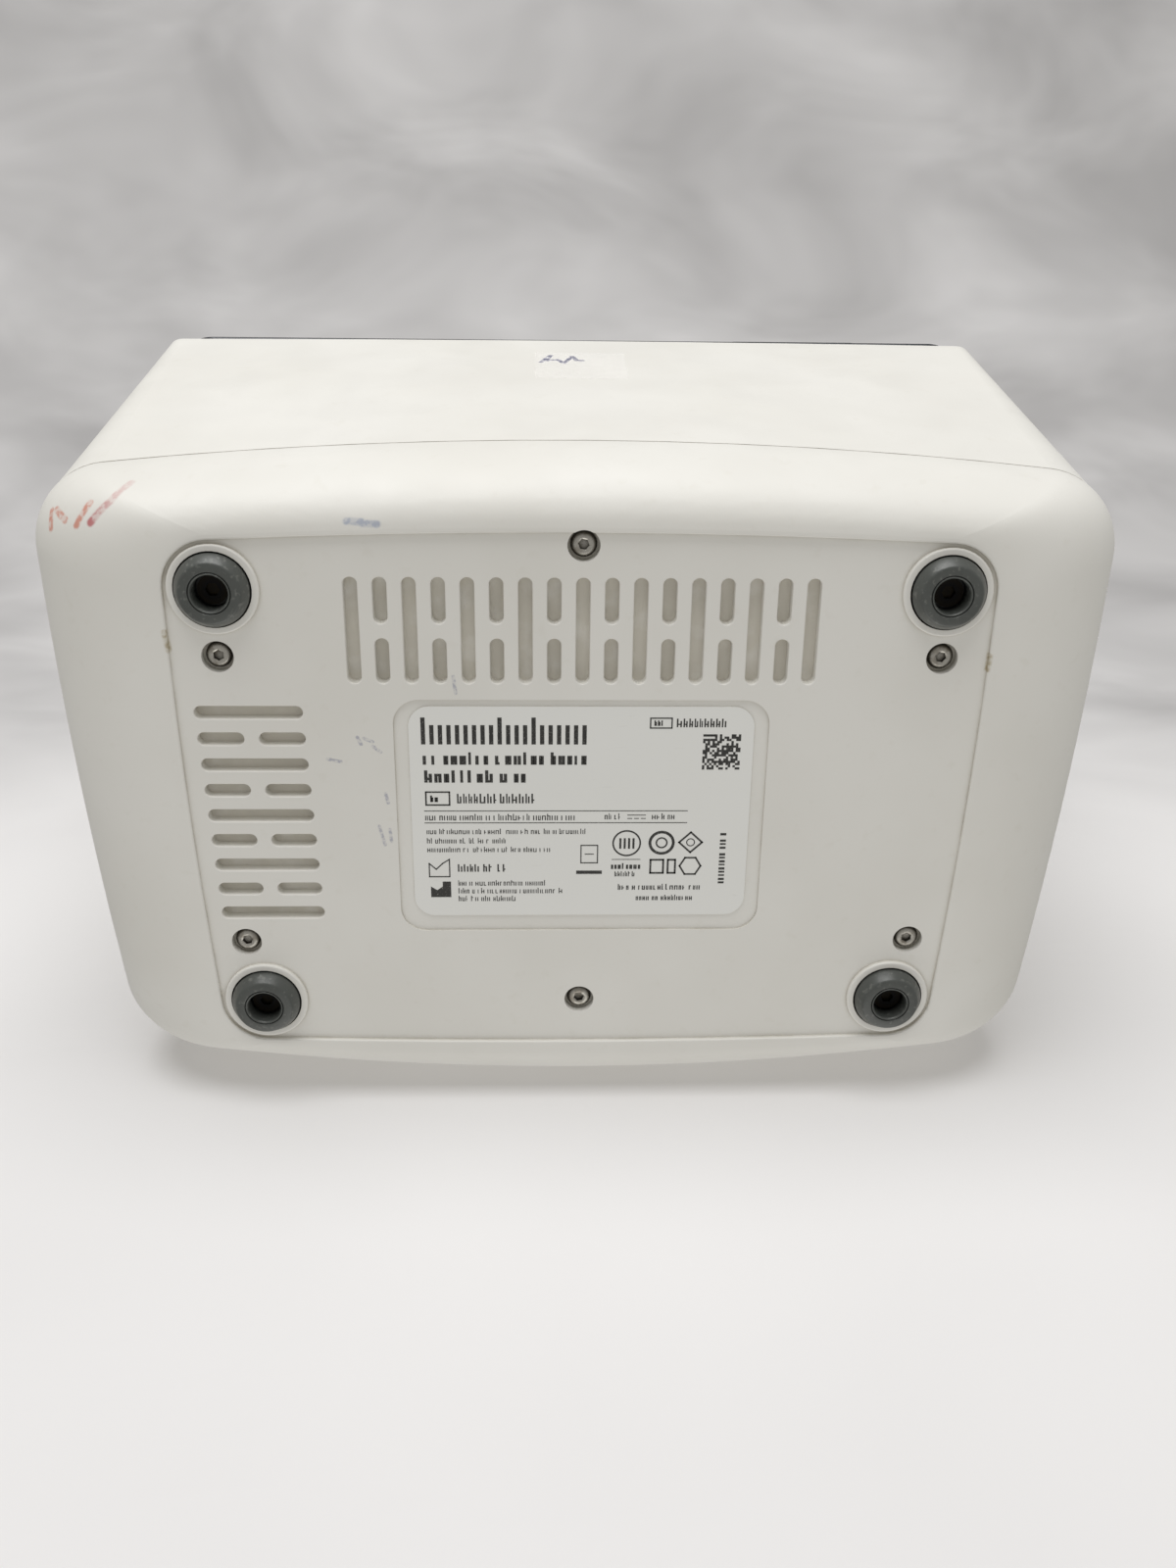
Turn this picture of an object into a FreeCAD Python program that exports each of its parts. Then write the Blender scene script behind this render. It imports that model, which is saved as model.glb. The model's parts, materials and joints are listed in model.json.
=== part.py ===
import FreeCAD, Part
import math
import os

# Bench-top automated cell counter: a tapered white housing on a rounded base, a leaning touch screen on
# the front, a slide port under the screen and an inverted microscope with a focus drive inside.
# Millimetres. +Z is up, the front faces -Y, +X is to the right seen from the front.
# The origin is on the surface that the feet stand on, under the middle of the bounding box.

V = FreeCAD.Vector

# ---- driving dimensions -------------------------------------------------------------------------------
HEIGHT = 229.0            # feet to top
FOOT_HEIGHT = 4.0         # the base panel stands this far above the table
PANEL_RECESS = 1.0        # the panel lies this far inside the rim around it
SEAM_Z = 26.0             # bottom casing meets main housing
CHIN_Z = 124.0            # top of the white front face, where the dark bezel starts
CHIN_Y = -79.2            # its foremost line
SHOULDER_Z = 134.0        # the front corners taper from the seam to here, and hardly any further
LEAN = 26.0               # the screen leans back from the vertical, degrees
WALL = 3.0                # moulded walls
FLOOR = 2.8               # thickness of the base panel
LAP = 3.0                 # height of the lip that the bottom casing pushes up inside the housing
CLEARANCE = 0.15          # between parts that are assembled by hand

# The base outline has a circle at each corner, bowed front, rear and sides. A circle is (x, y, radius).
PANEL_FRONT, PANEL_REAR = (73.9, -42.3, 10.0), (70.4, 52.6, 10.0)
PANEL_CROWNS = (-54.1, 63.8)          # foremost and rearmost line of the recessed panel
SEAM_FRONT, SEAM_REAR = (97.9, -46.8, 16.5), (92.1, 55.2, 15.4)
SEAM_CROWNS = (-68.4, 79.4)
SHOULDER_FRONT, SHOULDER_REAR = (105.2, -76.8, 3.4), (85.6, 54.5, 15.4)
SHOULDER_CROWNS = (-80.4, 79.0)
TOP_FRONT, TOP_REAR = (100.0, -89.0, 3.4), (79.9, 54.0, 15.4)
TOP_CROWNS = (-92.8, 78.6)
SIDE_BOW = 1100.0                     # radius of the slightly bowed sides

FEET = [("foot_front_left", -73.9, -42.3), ("foot_front_right", 73.9, -42.3),
        ("foot_rear_left", -70.4, 52.6), ("foot_rear_right", 70.4, 52.6)]
FOOT_R, FOOT_RING_IN, FOOT_RING_OUT = 7.5, 7.85, 9.25
CORNER_SCREWS = [(-74.3, -28.1), (74.3, -28.1), (-73.8, 38.0), (73.8, 38.0)]
CENTRE_SCREWS = [(0.0, -51.4), (0.0, 53.1)]
SCREW_SINK_R, SCREW_HEAD_R = 3.3, 2.75

FRONT_SLOTS, FRONT_PITCH, FRONT_Y = 17, 5.85, (-44.8, -22.4)
SIDE_SLOTS, SIDE_PITCH, SIDE_X, SIDE_Y, SIDE_SHIFT = 9, 5.83, -80.3, -16.0, 0.21
SLOT_W, SLOT_L, SLOT_GAP = 2.85, 22.4, 3.1
LABEL = (72.6, 48.9, 4.5, 7.1)        # width, length, corner radius, y of the centre
LABEL_POCKET = (78.8, 54.2, 5.5, 8.2)
TAPE_X, TAPE_Z = (-10.4, 13.1), (80.5, 109.0)

PORT_X, PORT_Z = 60.0, 132.0          # slide port, also the optical axis in x
OPTIC_Y = -32.0                       # the optical axis in y
DRIVE_Y = -10.0                       # focus motor and lead screw
CHASSIS_Z = 18.0                      # underside of the chassis plate

BEZEL_PROUD, BEZEL_SINK = 1.0, 3.0
BEZEL_BOTTOM, BEZEL_TOP = 1.6, 111.0  # up the slope from the chin's top edge
GLASS = (162.0, 91.0, 18.0)           # width, length up the slope, where it starts
LCD = (165.0, 100.0, 6.0)

PORTS_X, PORTS_Z = 50.0, 48.0         # middle of the rear connector recess
PORTS_W, PORTS_H, PORTS_Y = 62.0, 30.0, 70.0
JACK_X, SWITCH_X = 34.0, 63.0
ROCKER_TILT = 8.0

os.makedirs("parts", exist_ok=True)


def save(name, shape):
    shape.exportStep("parts/" + name + ".step")
    print(name, len(shape.Solids), round(shape.Volume, 1), shape.isValid())


# ---- general shapes -----------------------------------------------------------------------------------
def box(x0, x1, y0, y1, z0, z1):
    return Part.makeBox(x1 - x0, y1 - y0, z1 - z0, V(x0, y0, z0))


def rod(x, y, z0, z1, r):
    return Part.makeCylinder(r, z1 - z0, V(x, y, z0))


def tube(x, y, z0, z1, r_out, r_in):
    return rod(x, y, z0, z1, r_out).cut(rod(x, y, z0 - 1, z1 + 1, r_in))


def rounded_plate(x, y, width, length, radius, z0, z1):
    """A plate with rounded corners, centred on x, y."""
    plate = box(x - width / 2, x + width / 2, y - length / 2, y + length / 2, z0, z1)
    upright = [e for e in plate.Edges if abs(e.tangentAt(e.FirstParameter).z) > 0.9]
    return plate.makeFillet(radius, upright)


def slot(x0, x1, y0, y1, z0, z1):
    """A slot with round ends along its longer side."""
    return rounded_plate((x0 + x1) / 2, (y0 + y1) / 2, x1 - x0, y1 - y0,
                         min(x1 - x0, y1 - y0) / 2 - 0.001, z0, z1)


def hexagon(x, y, z0, z1, across):
    r = across / math.sqrt(3)
    points = [V(x + r * math.cos(math.radians(60 * i)), y + r * math.sin(math.radians(60 * i)), z0)
              for i in range(7)]
    return Part.Face(Part.makePolygon(points)).extrude(V(0, 0, z1 - z0))


def turned(profile, x, y):
    """A solid turned about a vertical axis from (radius, z) points."""
    points = [V(x + r, y, z) for r, z in profile + profile[:1]]
    return Part.Face(Part.makePolygon(points)).revolve(V(x, y, 0), V(0, 0, 1), 360)


def fused(shapes):
    return shapes[0].fuse(shapes[1:]).removeSplitter()


def rounded(shape, radius, chooses):
    """Rounds the edges that chooses() picks, and keeps the shape if the rounding can't be made."""
    edges = [e for e in shape.Edges if chooses(e)]
    try:
        result = shape.makeFillet(radius, edges)
        return result if result.isValid() and result.Volume > 0 else shape
    except Part.OCCError:
        print("edges left sharp:", len(edges), "of radius", radius)
        return shape


def level(edge, z):
    return abs(edge.BoundBox.ZMin - z) < 1e-4 and abs(edge.BoundBox.ZMax - z) < 1e-4


def on_slope(shape):
    """Puts a shape drawn on the screen's plane (x across, y up the slope, z outwards) into place."""
    shape.Placement = FreeCAD.Placement(V(0, CHIN_Y, CHIN_Z), FreeCAD.Rotation(V(1, 0, 0), 90 - LEAN))
    return shape


def slope_point(x, up, out):
    lean = math.radians(LEAN)
    return V(x, CHIN_Y + up * math.sin(lean) - out * math.cos(lean),
             CHIN_Z + up * math.cos(lean) + out * math.sin(lean))


# ---- the body's outline -------------------------------------------------------------------------------
def outline(front, rear, crowns, z, inset=0.0):
    """A closed wire of tangent arcs: two corner circles a side, joined by bowed arcs."""
    xf, yf, rf = front[0], front[1], front[2] - inset
    xr, yr, rr = rear[0], rear[1], rear[2] - inset
    crown_f, crown_r = crowns[0] + inset, crowns[1] - inset
    deep_f, deep_r = yf - crown_f, crown_r - yr
    bow_f = (xf ** 2 + deep_f ** 2 - rf ** 2) / (2 * (deep_f - rf))
    bow_r = (xr ** 2 + deep_r ** 2 - rr ** 2) / (2 * (deep_r - rr))
    centre_f, centre_r = V(0, crown_f + bow_f, z), V(0, crown_r - bow_r, z)
    corner_f, corner_r = V(xf, yf, z), V(xr, yr, z)
    side = corner_r - corner_f
    reach_f, reach_r = SIDE_BOW - rf, SIDE_BOW - rr
    along = (reach_f ** 2 - reach_r ** 2 + side.Length ** 2) / (2 * side.Length)
    across = math.sqrt(reach_f ** 2 - along ** 2)
    unit = V(side).normalize()
    centre_s = corner_f + unit * along + V(-unit.y, unit.x, 0) * across

    def on(circle, radius, away_from):
        return circle + (circle - away_from).normalize() * radius

    def middle(circle, radius, a, b):
        return circle + ((a - circle) + (b - circle)).normalize() * radius

    a = on(corner_f, rf, centre_f)
    b = on(corner_f, rf, centre_s)
    c = on(corner_r, rr, centre_s)
    d = on(corner_r, rr, centre_r)
    right = [(a, middle(corner_f, rf, a, b), b), (b, middle(centre_s, SIDE_BOW, b, c), c),
             (c, middle(corner_r, rr, c, d), d)]

    def mirrored(p):
        return V(-p.x, p.y, p.z)

    left = [tuple(mirrored(p) for p in reversed(arc)) for arc in reversed(right)]
    front_arc = (mirrored(a), V(0, crown_f, z), a)
    rear_arc = (d, V(0, crown_r, z), mirrored(d))
    arcs = [front_arc] + right + [rear_arc] + left
    return Part.Wire([Part.Arc(*arc).toShape() for arc in arcs])


def mixed(p, q, share):
    return tuple(u + (v - u) * share for u, v in zip(p, q))


def base_section(share, z, inset=0.0, grow=1.0):
    """The underside between the panel's edge (share 0) and the seam (share 1)."""
    start_f = PANEL_FRONT[:2] + (PANEL_FRONT[2] + grow,)
    start_r = PANEL_REAR[:2] + (PANEL_REAR[2] + grow,)
    start_c = (PANEL_CROWNS[0] - grow, PANEL_CROWNS[1] + grow)
    return outline(mixed(start_f, SEAM_FRONT, share), mixed(start_r, SEAM_REAR, share),
                   mixed(start_c, SEAM_CROWNS, share), z, inset)


def bowl(z_low, inset, steps=7):
    """The rounded underside as a solid: a quarter of an ellipse all round, steeper at the seam."""
    wires = []
    for i in range(steps):
        angle = math.radians(90.0 * i / (steps - 1))
        wires.append(base_section(math.sin(angle), z_low + (SEAM_Z - z_low) * (1 - math.cos(angle)), inset))
    return Part.makeLoft(wires, True, False)


def upper_section(z, inset=0.0):
    low, high = (SEAM_FRONT, SEAM_REAR, SEAM_CROWNS), (SHOULDER_FRONT, SHOULDER_REAR, SHOULDER_CROWNS)
    share = (z - SEAM_Z) / (SHOULDER_Z - SEAM_Z)
    if z > SHOULDER_Z:
        low, high = high, (TOP_FRONT, TOP_REAR, TOP_CROWNS)
        share = (z - SHOULDER_Z) / (HEIGHT - SHOULDER_Z)
    front, rear, crowns = [mixed(p, q, share) for p, q in zip(low, high)]
    return outline(front, rear, crowns, z, inset)


def ring_wall(z0, z1, inset_out, inset_in):
    """An upright wall that follows the seam's outline."""
    def prism(inset, a, b):
        return Part.Face(outline(SEAM_FRONT, SEAM_REAR, SEAM_CROWNS, a, inset)).extrude(V(0, 0, b - a))
    return prism(inset_out, z0, z1).cut(prism(inset_in, z0 - 1, z1 + 1))


def upper_solid(z0, z1, inset, depth):
    """The tapered upper body between two levels, cut off by a plane that lies depth inside the slope."""
    body = Part.makeLoft([upper_section(z, inset) for z in (z0, SHOULDER_Z, z1)], True, True)
    front = on_slope(box(-200, 200, -200, 300, -depth, 200))
    return body.cut(front)


# ---- bottom casing ------------------------------------------------------------------------------------
PANEL_Z = FOOT_HEIGHT
FLOOR_Z = PANEL_Z + FLOOR
FOOT_SEAT_Z = 6.6
FOOT_BOSS_Z = 10.5
BOSS_Z = 12.0
SINK_Z = 6.3
PANEL_LIP, SLOT_LIP = 0.45, 0.3        # roundings round the panel's recess and the slots' mouths
LIP_OUT, LIP_IN = 1.6, WALL + 0.7      # the casing's lip, measured in from the outside


def vent_slots(z0, z1):
    """Front block of upright slots and left block of slots across, every second one in two halves."""
    slots = []
    half = (SLOT_L - SLOT_GAP) / 2
    for i in range(FRONT_SLOTS):
        x = (i - (FRONT_SLOTS - 1) / 2) * FRONT_PITCH
        lengths = [FRONT_Y]
        if i % 2:
            lengths = [(FRONT_Y[0], FRONT_Y[0] + half), (FRONT_Y[1] - half, FRONT_Y[1])]
        slots += [slot(x - SLOT_W / 2, x + SLOT_W / 2, y0, y1, z0, z1) for y0, y1 in lengths]
    for i in range(SIDE_SLOTS):
        y, x = SIDE_Y + i * SIDE_PITCH, SIDE_X + i * SIDE_SHIFT
        lengths = [(x, x + SLOT_L)] if i % 2 == 0 else [(x, x + half), (x + SLOT_L - half, x + SLOT_L)]
        slots += [slot(x0, x1, y - SLOT_W / 2, y + SLOT_W / 2, z0, z1) for x0, x1 in lengths]
    return slots


def bottom_casing():
    low = PANEL_Z - PANEL_RECESS
    shell = bowl(low, 0.0).cut(bowl(FLOOR_Z, WALL))
    shell = shell.fuse(ring_wall(SEAM_Z - 4, SEAM_Z + LAP, LIP_OUT, LIP_IN))
    panel = Part.Face(outline(PANEL_FRONT, PANEL_REAR, PANEL_CROWNS, low - 1))
    panel = panel.extrude(V(0, 0, PANEL_RECESS + 1))
    shell = shell.cut(panel)
    rings = [rod(x, y, low, FOOT_BOSS_Z, FOOT_RING_OUT) for name, x, y in FEET]
    bosses = [rod(x, y, PANEL_Z + 1, BOSS_Z, 5.5) for x, y in CORNER_SCREWS + CENTRE_SCREWS]
    shell = shell.fuse(rings + bosses).removeSplitter()
    edges_low = [e for e in shell.Edges if level(e, low) and e.Length > 20]
    shell = shell.makeFillet(PANEL_LIP, edges_low)
    label_w, label_l, label_r, label_y = LABEL_POCKET
    holes = [rounded_plate(0, label_y, label_w, label_l, label_r, PANEL_Z - 1, PANEL_Z + 0.5)]
    for name, x, y in FEET:
        holes.append(rod(x, y, low - 1, FOOT_SEAT_Z, FOOT_RING_IN))
        holes.append(rod(x, y, FOOT_SEAT_Z - 1, FOOT_BOSS_Z + 1, 1.25))
    for x, y in CORNER_SCREWS + CENTRE_SCREWS:
        holes += [rod(x, y, PANEL_Z - 1, SINK_Z, SCREW_SINK_R), rod(x, y, SINK_Z - 1, BOSS_Z + 1, 1.7)]
    shell = shell.cut(holes + vent_slots(PANEL_Z - 1, FLOOR_Z + 1))
    return rounded(shell, SLOT_LIP, on_slot_mouth)


def on_slot_mouth(edge):
    """Edges of the slots on the panel's face, without the screw and foot holes."""
    wide_circle = isinstance(edge.Curve, Part.Circle) and edge.Curve.Radius > SLOT_W
    in_slots = edge.Length < SLOT_L and edge.BoundBox.YMin > FRONT_Y[0] - 1
    return level(edge, PANEL_Z) and in_slots and not wide_circle


def foot(x, y):
    """A grey rubber foot: bevelled rim, flat tread, fine ridge round a deep screw hole."""
    return turned([(1.7, 5.0), (1.7, FOOT_SEAT_Z), (FOOT_R, FOOT_SEAT_Z), (FOOT_R, 2.4), (6.1, 0.35),
                   (5.7, 0.0), (4.5, 0.0), (4.3, 0.3), (4.1, 0.3), (3.9, 0.0), (3.7, 0.3), (3.65, 5.0)], x, y)


def foot_screw(x, y):
    screw = fused([rod(x, y, 3.4, 5.0, 3.0), rod(x, y, 5.0, 10.0, 1.25)])
    return screw.cut(hexagon(x, y, 3.0, 4.4, 2.5))


def base_screw(x, y):
    """Button-head screw with a hexagon socket, sunk in the panel."""
    head = turned([(0, SINK_Z), (SCREW_HEAD_R, SINK_Z), (SCREW_HEAD_R, SINK_Z - 0.35), (2.45, SINK_Z - 1.0),
                   (1.95, SINK_Z - 1.4), (0, SINK_Z - 1.4)], x, y)
    screw = head.fuse(rod(x, y, SINK_Z, SINK_Z + 10.5, 1.4))
    return screw.cut(hexagon(x, y, SINK_Z - 2, SINK_Z - 0.5, 2.0)).removeSplitter()


# ---- main housing, bezel and screen -------------------------------------------------------------------
LEDGE = 2.5                            # housing wall behind the bezel


def bezel_outline_plate(grow, z0, z1):
    """The bezel's outline drawn on the slope, narrowing upwards with the housing."""
    low, high = 103.2 + grow, 97.4 + grow
    y0, y1 = BEZEL_BOTTOM - grow, BEZEL_TOP + grow
    points = [V(-low, y0, z0), V(low, y0, z0), V(high, y1, z0), V(-high, y1, z0), V(-low, y0, z0)]
    plate = Part.Face(Part.makePolygon(points)).extrude(V(0, 0, z1 - z0))
    upright = [e for e in plate.Edges if abs(e.tangentAt(e.FirstParameter).z) > 0.9]
    return plate.makeFillet(6.0 + grow, upright)


def screen_boss_places():
    return [(sx * 90.0, up) for sx in (-1, 1) for up in (26.0, 100.0)]


def main_housing():
    outer = upper_solid(SEAM_Z, HEIGHT, 0.0, 0.0)
    outer = rounded(outer, 11.0, lambda e: level(e, HEIGHT) and not (e.BoundBox.YMax < 0))
    outer = rounded(outer, 1.2, on_front_rim)
    inner = upper_solid(SEAM_Z - 1, HEIGHT - WALL, WALL, BEZEL_SINK + LEDGE)
    inner = rounded(inner, 8.0, lambda e: level(e, HEIGHT - WALL) and not (e.BoundBox.YMax < 0))
    shell = outer.cut(inner)
    rebate = Part.Face(base_section(1.0, SEAM_Z - 1, LIP_OUT - CLEARANCE))
    rebate = rebate.extrude(V(0, 0, 1 + LAP + CLEARANCE))
    groove = ring_wall(SEAM_Z - 1, SEAM_Z + 0.45, -3.0, 0.6)
    seat = on_slope(bezel_outline_plate(CLEARANCE, -BEZEL_SINK, 20))
    window = on_slope(rounded_plate(0, 64.0, LCD[0] + 2, LCD[1] - 7, 3.0, -20, 20))
    port = box(PORT_X - 20, PORT_X + 20, -90, -58, PORT_Z - 4.7, PORT_Z + 10)
    usb = on_slope(rounded_plate(-62, 9.2, 16, 9, 1.0, -20, 20))
    recess = rounded_plate(PORTS_X, 0, PORTS_W, 40, 3, 0, PORTS_H)
    recess.Placement = FreeCAD.Placement(V(0, 90, PORTS_Z - PORTS_H / 2), FreeCAD.Rotation())
    ribs = [box(-1.25, 1.25, -72, CENTRE_SCREWS[0][1], 30, 60),
            box(-1.25, 1.25, CENTRE_SCREWS[1][1], 78, 30, 60)]
    posts = [rod(x, y, BOSS_Z, 60, 4.4) for x, y in CENTRE_SCREWS]
    frame = ports_block(WALL, PORTS_Y - WALL, 77)
    screen_posts = [on_slope(rod(x, up, -9.2, -BEZEL_SINK - 1, 3.2)) for x, up in screen_boss_places()]
    shell = shell.cut([rebate, groove]).fuse([r.common(outer) for r in ribs + [frame]] + posts + screen_posts)
    opening = ports_block(0, PORTS_Y, 90)
    opening = opening.makeFillet(3.0, along_y(opening))
    through = ports_block(-WALL, 60, 90)
    pilot = [rod(x, y, BOSS_Z - 1, 24, 1.4) for x, y in CENTRE_SCREWS]
    pilot += [on_slope(rod(x, up, -11, -6.6, 1.2)) for x, up in screen_boss_places()]
    return shell.cut([seat, window, port, usb, opening, through] + pilot).removeSplitter()


def ports_block(grow, y0, y1):
    """A block behind the rear connectors, larger than their recess by grow all round."""
    half_w, half_h = PORTS_W / 2 + grow, PORTS_H / 2 + grow
    return box(PORTS_X - half_w, PORTS_X + half_w, y0, y1, PORTS_Z - half_h, PORTS_Z + half_h)


def along_y(shape):
    return [e for e in shape.Edges if abs(e.tangentAt(e.FirstParameter).y) > 0.9]


def on_front_rim(edge):
    """The edges of the leaning face: they lie on the slope's plane."""
    lean = math.radians(LEAN)
    for p in (edge.valueAt(edge.FirstParameter), edge.valueAt(edge.LastParameter),
              edge.valueAt((edge.FirstParameter + edge.LastParameter) / 2)):
        out = -(p.y - CHIN_Y) * math.cos(lean) + (p.z - CHIN_Z) * math.sin(lean)
        if abs(out) > 0.01:
            return False
    return True


def front_bezel():
    width, length, start = GLASS
    plate = bezel_outline_plate(0, -BEZEL_SINK, BEZEL_PROUD)
    plate = rounded(plate, 0.8, lambda e: level(e, BEZEL_PROUD))
    seat = rounded_plate(0, start + length / 2, width + 0.3, length + 0.3, 3.15, BEZEL_PROUD - 1.6, 20)
    window = rounded_plate(0, start + length / 2, 156, 87, 1.0, -10, 20)
    usb = rounded_plate(-62, 9.2, 15.0, 7.6, 0.8, -10, 20)
    plate = on_slope(plate.cut([seat, window, usb]))
    port = box(PORT_X - 17.0, PORT_X + 17.0, -95, -50, 127.6, 136.6)
    port = port.makeFillet(1.5, along_y(port))
    return plate.cut(port)


def touch_panel():
    width, length, start = GLASS
    glass = rounded_plate(0, start + length / 2, width, length, 3.0, BEZEL_PROUD - 1.6, BEZEL_PROUD - 0.05)
    return on_slope(rounded(glass, 0.25, lambda e: level(e, BEZEL_PROUD - 0.05)))


def lcd_module():
    """Display panel with its metal tray, driver strip and flex socket."""
    width, length, thick = LCD
    middle = 63.5
    body = rounded_plate(0, middle, width, length - 9, 1.5, -BEZEL_SINK - thick, -BEZEL_SINK)
    socket = box(-14, 14, middle - 30, middle - 24, -BEZEL_SINK - thick - 1.0, -BEZEL_SINK - thick)
    return on_slope(body.fuse(socket).removeSplitter())


def screen_bracket():
    """Pressed steel frame that holds the display against the bezel."""
    back = -BEZEL_SINK - LCD[2] - 1.4
    width = LCD[0]
    frame = rounded_plate(0, 65.0, width + 24, 86, 4, back, back + 1.2)
    hole = rounded_plate(0, 63.5, width - 30, 62, 4, back - 1, back + 3)
    screws = [rod(x, up, back - 1, back + 3, 1.6) for x, up in screen_boss_places()]
    return on_slope(frame.cut([hole] + screws))


def screen_screws():
    back = -BEZEL_SINK - LCD[2] - 1.4
    return Part.makeCompound([on_slope(rod(x, up, back - 1.6, back, 2.6).fuse(rod(x, up, back, -6.6, 1.2)))
                              for x, up in screen_boss_places()])


def rating_label():
    width, length, radius, y = LABEL
    return rounded_plate(0, y, width, length, radius, PANEL_Z + 0.22, PANEL_Z + 0.5)


def tape_sticker():
    """A strip of white tape on the front face, under the bezel."""
    z0, z1 = TAPE_Z
    outer = Part.makeLoft([upper_section(z0, -0.15), upper_section(z1, -0.15)], True, True)
    inner = Part.makeLoft([upper_section(z0 - 1, 0.0), upper_section(z1 + 1, 0.0)], True, True)
    return outer.cut(inner).common(box(*TAPE_X, -100, -60, z0, z1))


# ---- slide port and carriage --------------------------------------------------------------------------
PORT_W, PORT_LOW, PORT_HIGH = 28.0, PORT_Z - 3.9, PORT_Z + 2.8
GUIDE_FRONT, GUIDE_REAR = -61.5, -8.0
GUIDE_TOP = 138.0
TRAY_Z = PORT_LOW + 0.1
TRAY_TOP = TRAY_Z + 1.5
TRAY_END = -15.0
SHELF_Z = (119.0, 123.0)
FLANGE = 0.3


def slide_port_insert():
    """Moulded mouth of the slide port: a flanged frame in the bezel with a flared slot."""
    flange = rounded_plate(PORT_X, 9.1, 37.0, 12.8, 3.0, BEZEL_PROUD, BEZEL_PROUD + FLANGE)
    flange = on_slope(rounded(flange, 0.2, lambda e: level(e, BEZEL_PROUD + FLANGE)))
    sleeve = box(PORT_X - 16.8, PORT_X + 16.8, -90, -64, 127.8, 136.4)
    sleeve = sleeve.makeFillet(1.4, along_y(sleeve))
    sleeve = sleeve.cut(on_slope(box(-200, 200, -100, 100, BEZEL_PROUD + FLANGE, 60)))
    body = flange.fuse(sleeve).removeSplitter()
    channel = box(PORT_X - PORT_W / 2, PORT_X + PORT_W / 2, -95, -50, PORT_LOW, PORT_HIGH)
    mouth = Part.makeLoft([mouth_wire(2.6, slope_point(0, 9.1, 3.4).y), mouth_wire(0.0, -72.0)], True, True)
    return body.cut([channel, mouth])


def mouth_wire(grow, y):
    x0, x1 = PORT_X - PORT_W / 2 - grow, PORT_X + PORT_W / 2 + grow
    z0, z1 = PORT_LOW - grow * 0.5, PORT_HIGH + grow * 0.8
    return Part.makePolygon([V(x0, y, z0), V(x1, y, z0), V(x1, y, z1), V(x0, y, z1), V(x0, y, z0)])


def guide_holes():
    """The light's way through the guide, and its four screw holes."""
    screws = [rod(PORT_X + sx * 15.9, y, 120, 140, 1.0) for sx in (-1, 1) for y in (-54.0, -14.0)]
    return [rod(PORT_X, OPTIC_Y, 120, 140, 7.0)] + screws


def slide_guide():
    """Fixed channel that steers the slide to the optical axis."""
    body = box(PORT_X - 18, PORT_X + 18, GUIDE_FRONT, GUIDE_REAR, SHELF_Z[1], PORT_HIGH)
    half = PORT_W / 2
    channel = box(PORT_X - half, PORT_X + half, GUIDE_FRONT - 1, GUIDE_REAR + 1, PORT_LOW, PORT_HIGH + 1)
    return body.cut([channel] + guide_holes())


def guide_cover():
    """Plate that closes the channel from above."""
    return box(PORT_X - 18, PORT_X + 18, GUIDE_FRONT, GUIDE_REAR, PORT_HIGH, GUIDE_TOP).cut(guide_holes())


def slide_carriage():
    """Sprung tray under the slide, open where the light passes."""
    tray = box(PORT_X - 13.6, PORT_X + 13.6, -56.0, TRAY_END, TRAY_Z, TRAY_TOP)
    return tray.cut(rounded_plate(PORT_X, OPTIC_Y, 18, 14, 3, TRAY_Z - 1, TRAY_TOP + 1))


def slide_stop():
    """Block at the end of the tray that the slide meets, with a plunger into the latch."""
    block = box(PORT_X - 11, PORT_X + 11, TRAY_END - 3.0, TRAY_END, TRAY_TOP, PORT_HIGH - 0.5)
    plunger = Part.makeCylinder(1.8, 18.0, V(PORT_X, TRAY_END - 0.5, PORT_Z), V(0, 1, 0))
    return block.fuse(plunger).removeSplitter()


def push_latch():
    """Push-push latch block behind the guide, with a bore for the carriage's plunger."""
    body = box(PORT_X - 9, PORT_X + 9, -7.5, 14.0, 125.0, 138.0)
    bore = Part.makeCylinder(1.85, 22.0, V(PORT_X, -9.0, PORT_Z), V(0, 1, 0))
    body = body.makeFillet(0.8, [e for e in body.Edges if abs(e.tangentAt(e.FirstParameter).z) > 0.9])
    return body.cut(bore)


# ---- optics column ------------------------------------------------------------------------------------
COLUMN_X = (PORT_X - 30, PORT_X + 30)
CHASSIS_TOP = CHASSIS_Z + 1.5
COLUMN_FOOT = CHASSIS_TOP + 4.0
ARM_Z = (162.0, 166.0)
ROD_X, ROD_R, RUN = 16.0, 2.0, 0.04
MOTOR_TOP = 46.0
BLOCK_Z = (72.0, 84.0)
NUT_R = 4.0
BARREL_R = 10.0
GUSSET_THICK = 3.0


def gusset(x):
    """Triangular rib under the bridge."""
    corner, low, front = V(x, 0, SHELF_Z[1]), V(x, 0, SHELF_Z[1] - 26), V(x, -40, SHELF_Z[1])
    return Part.Face(Part.makePolygon([low, front, corner, low])).extrude(V(GUSSET_THICK, 0, 0))


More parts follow.
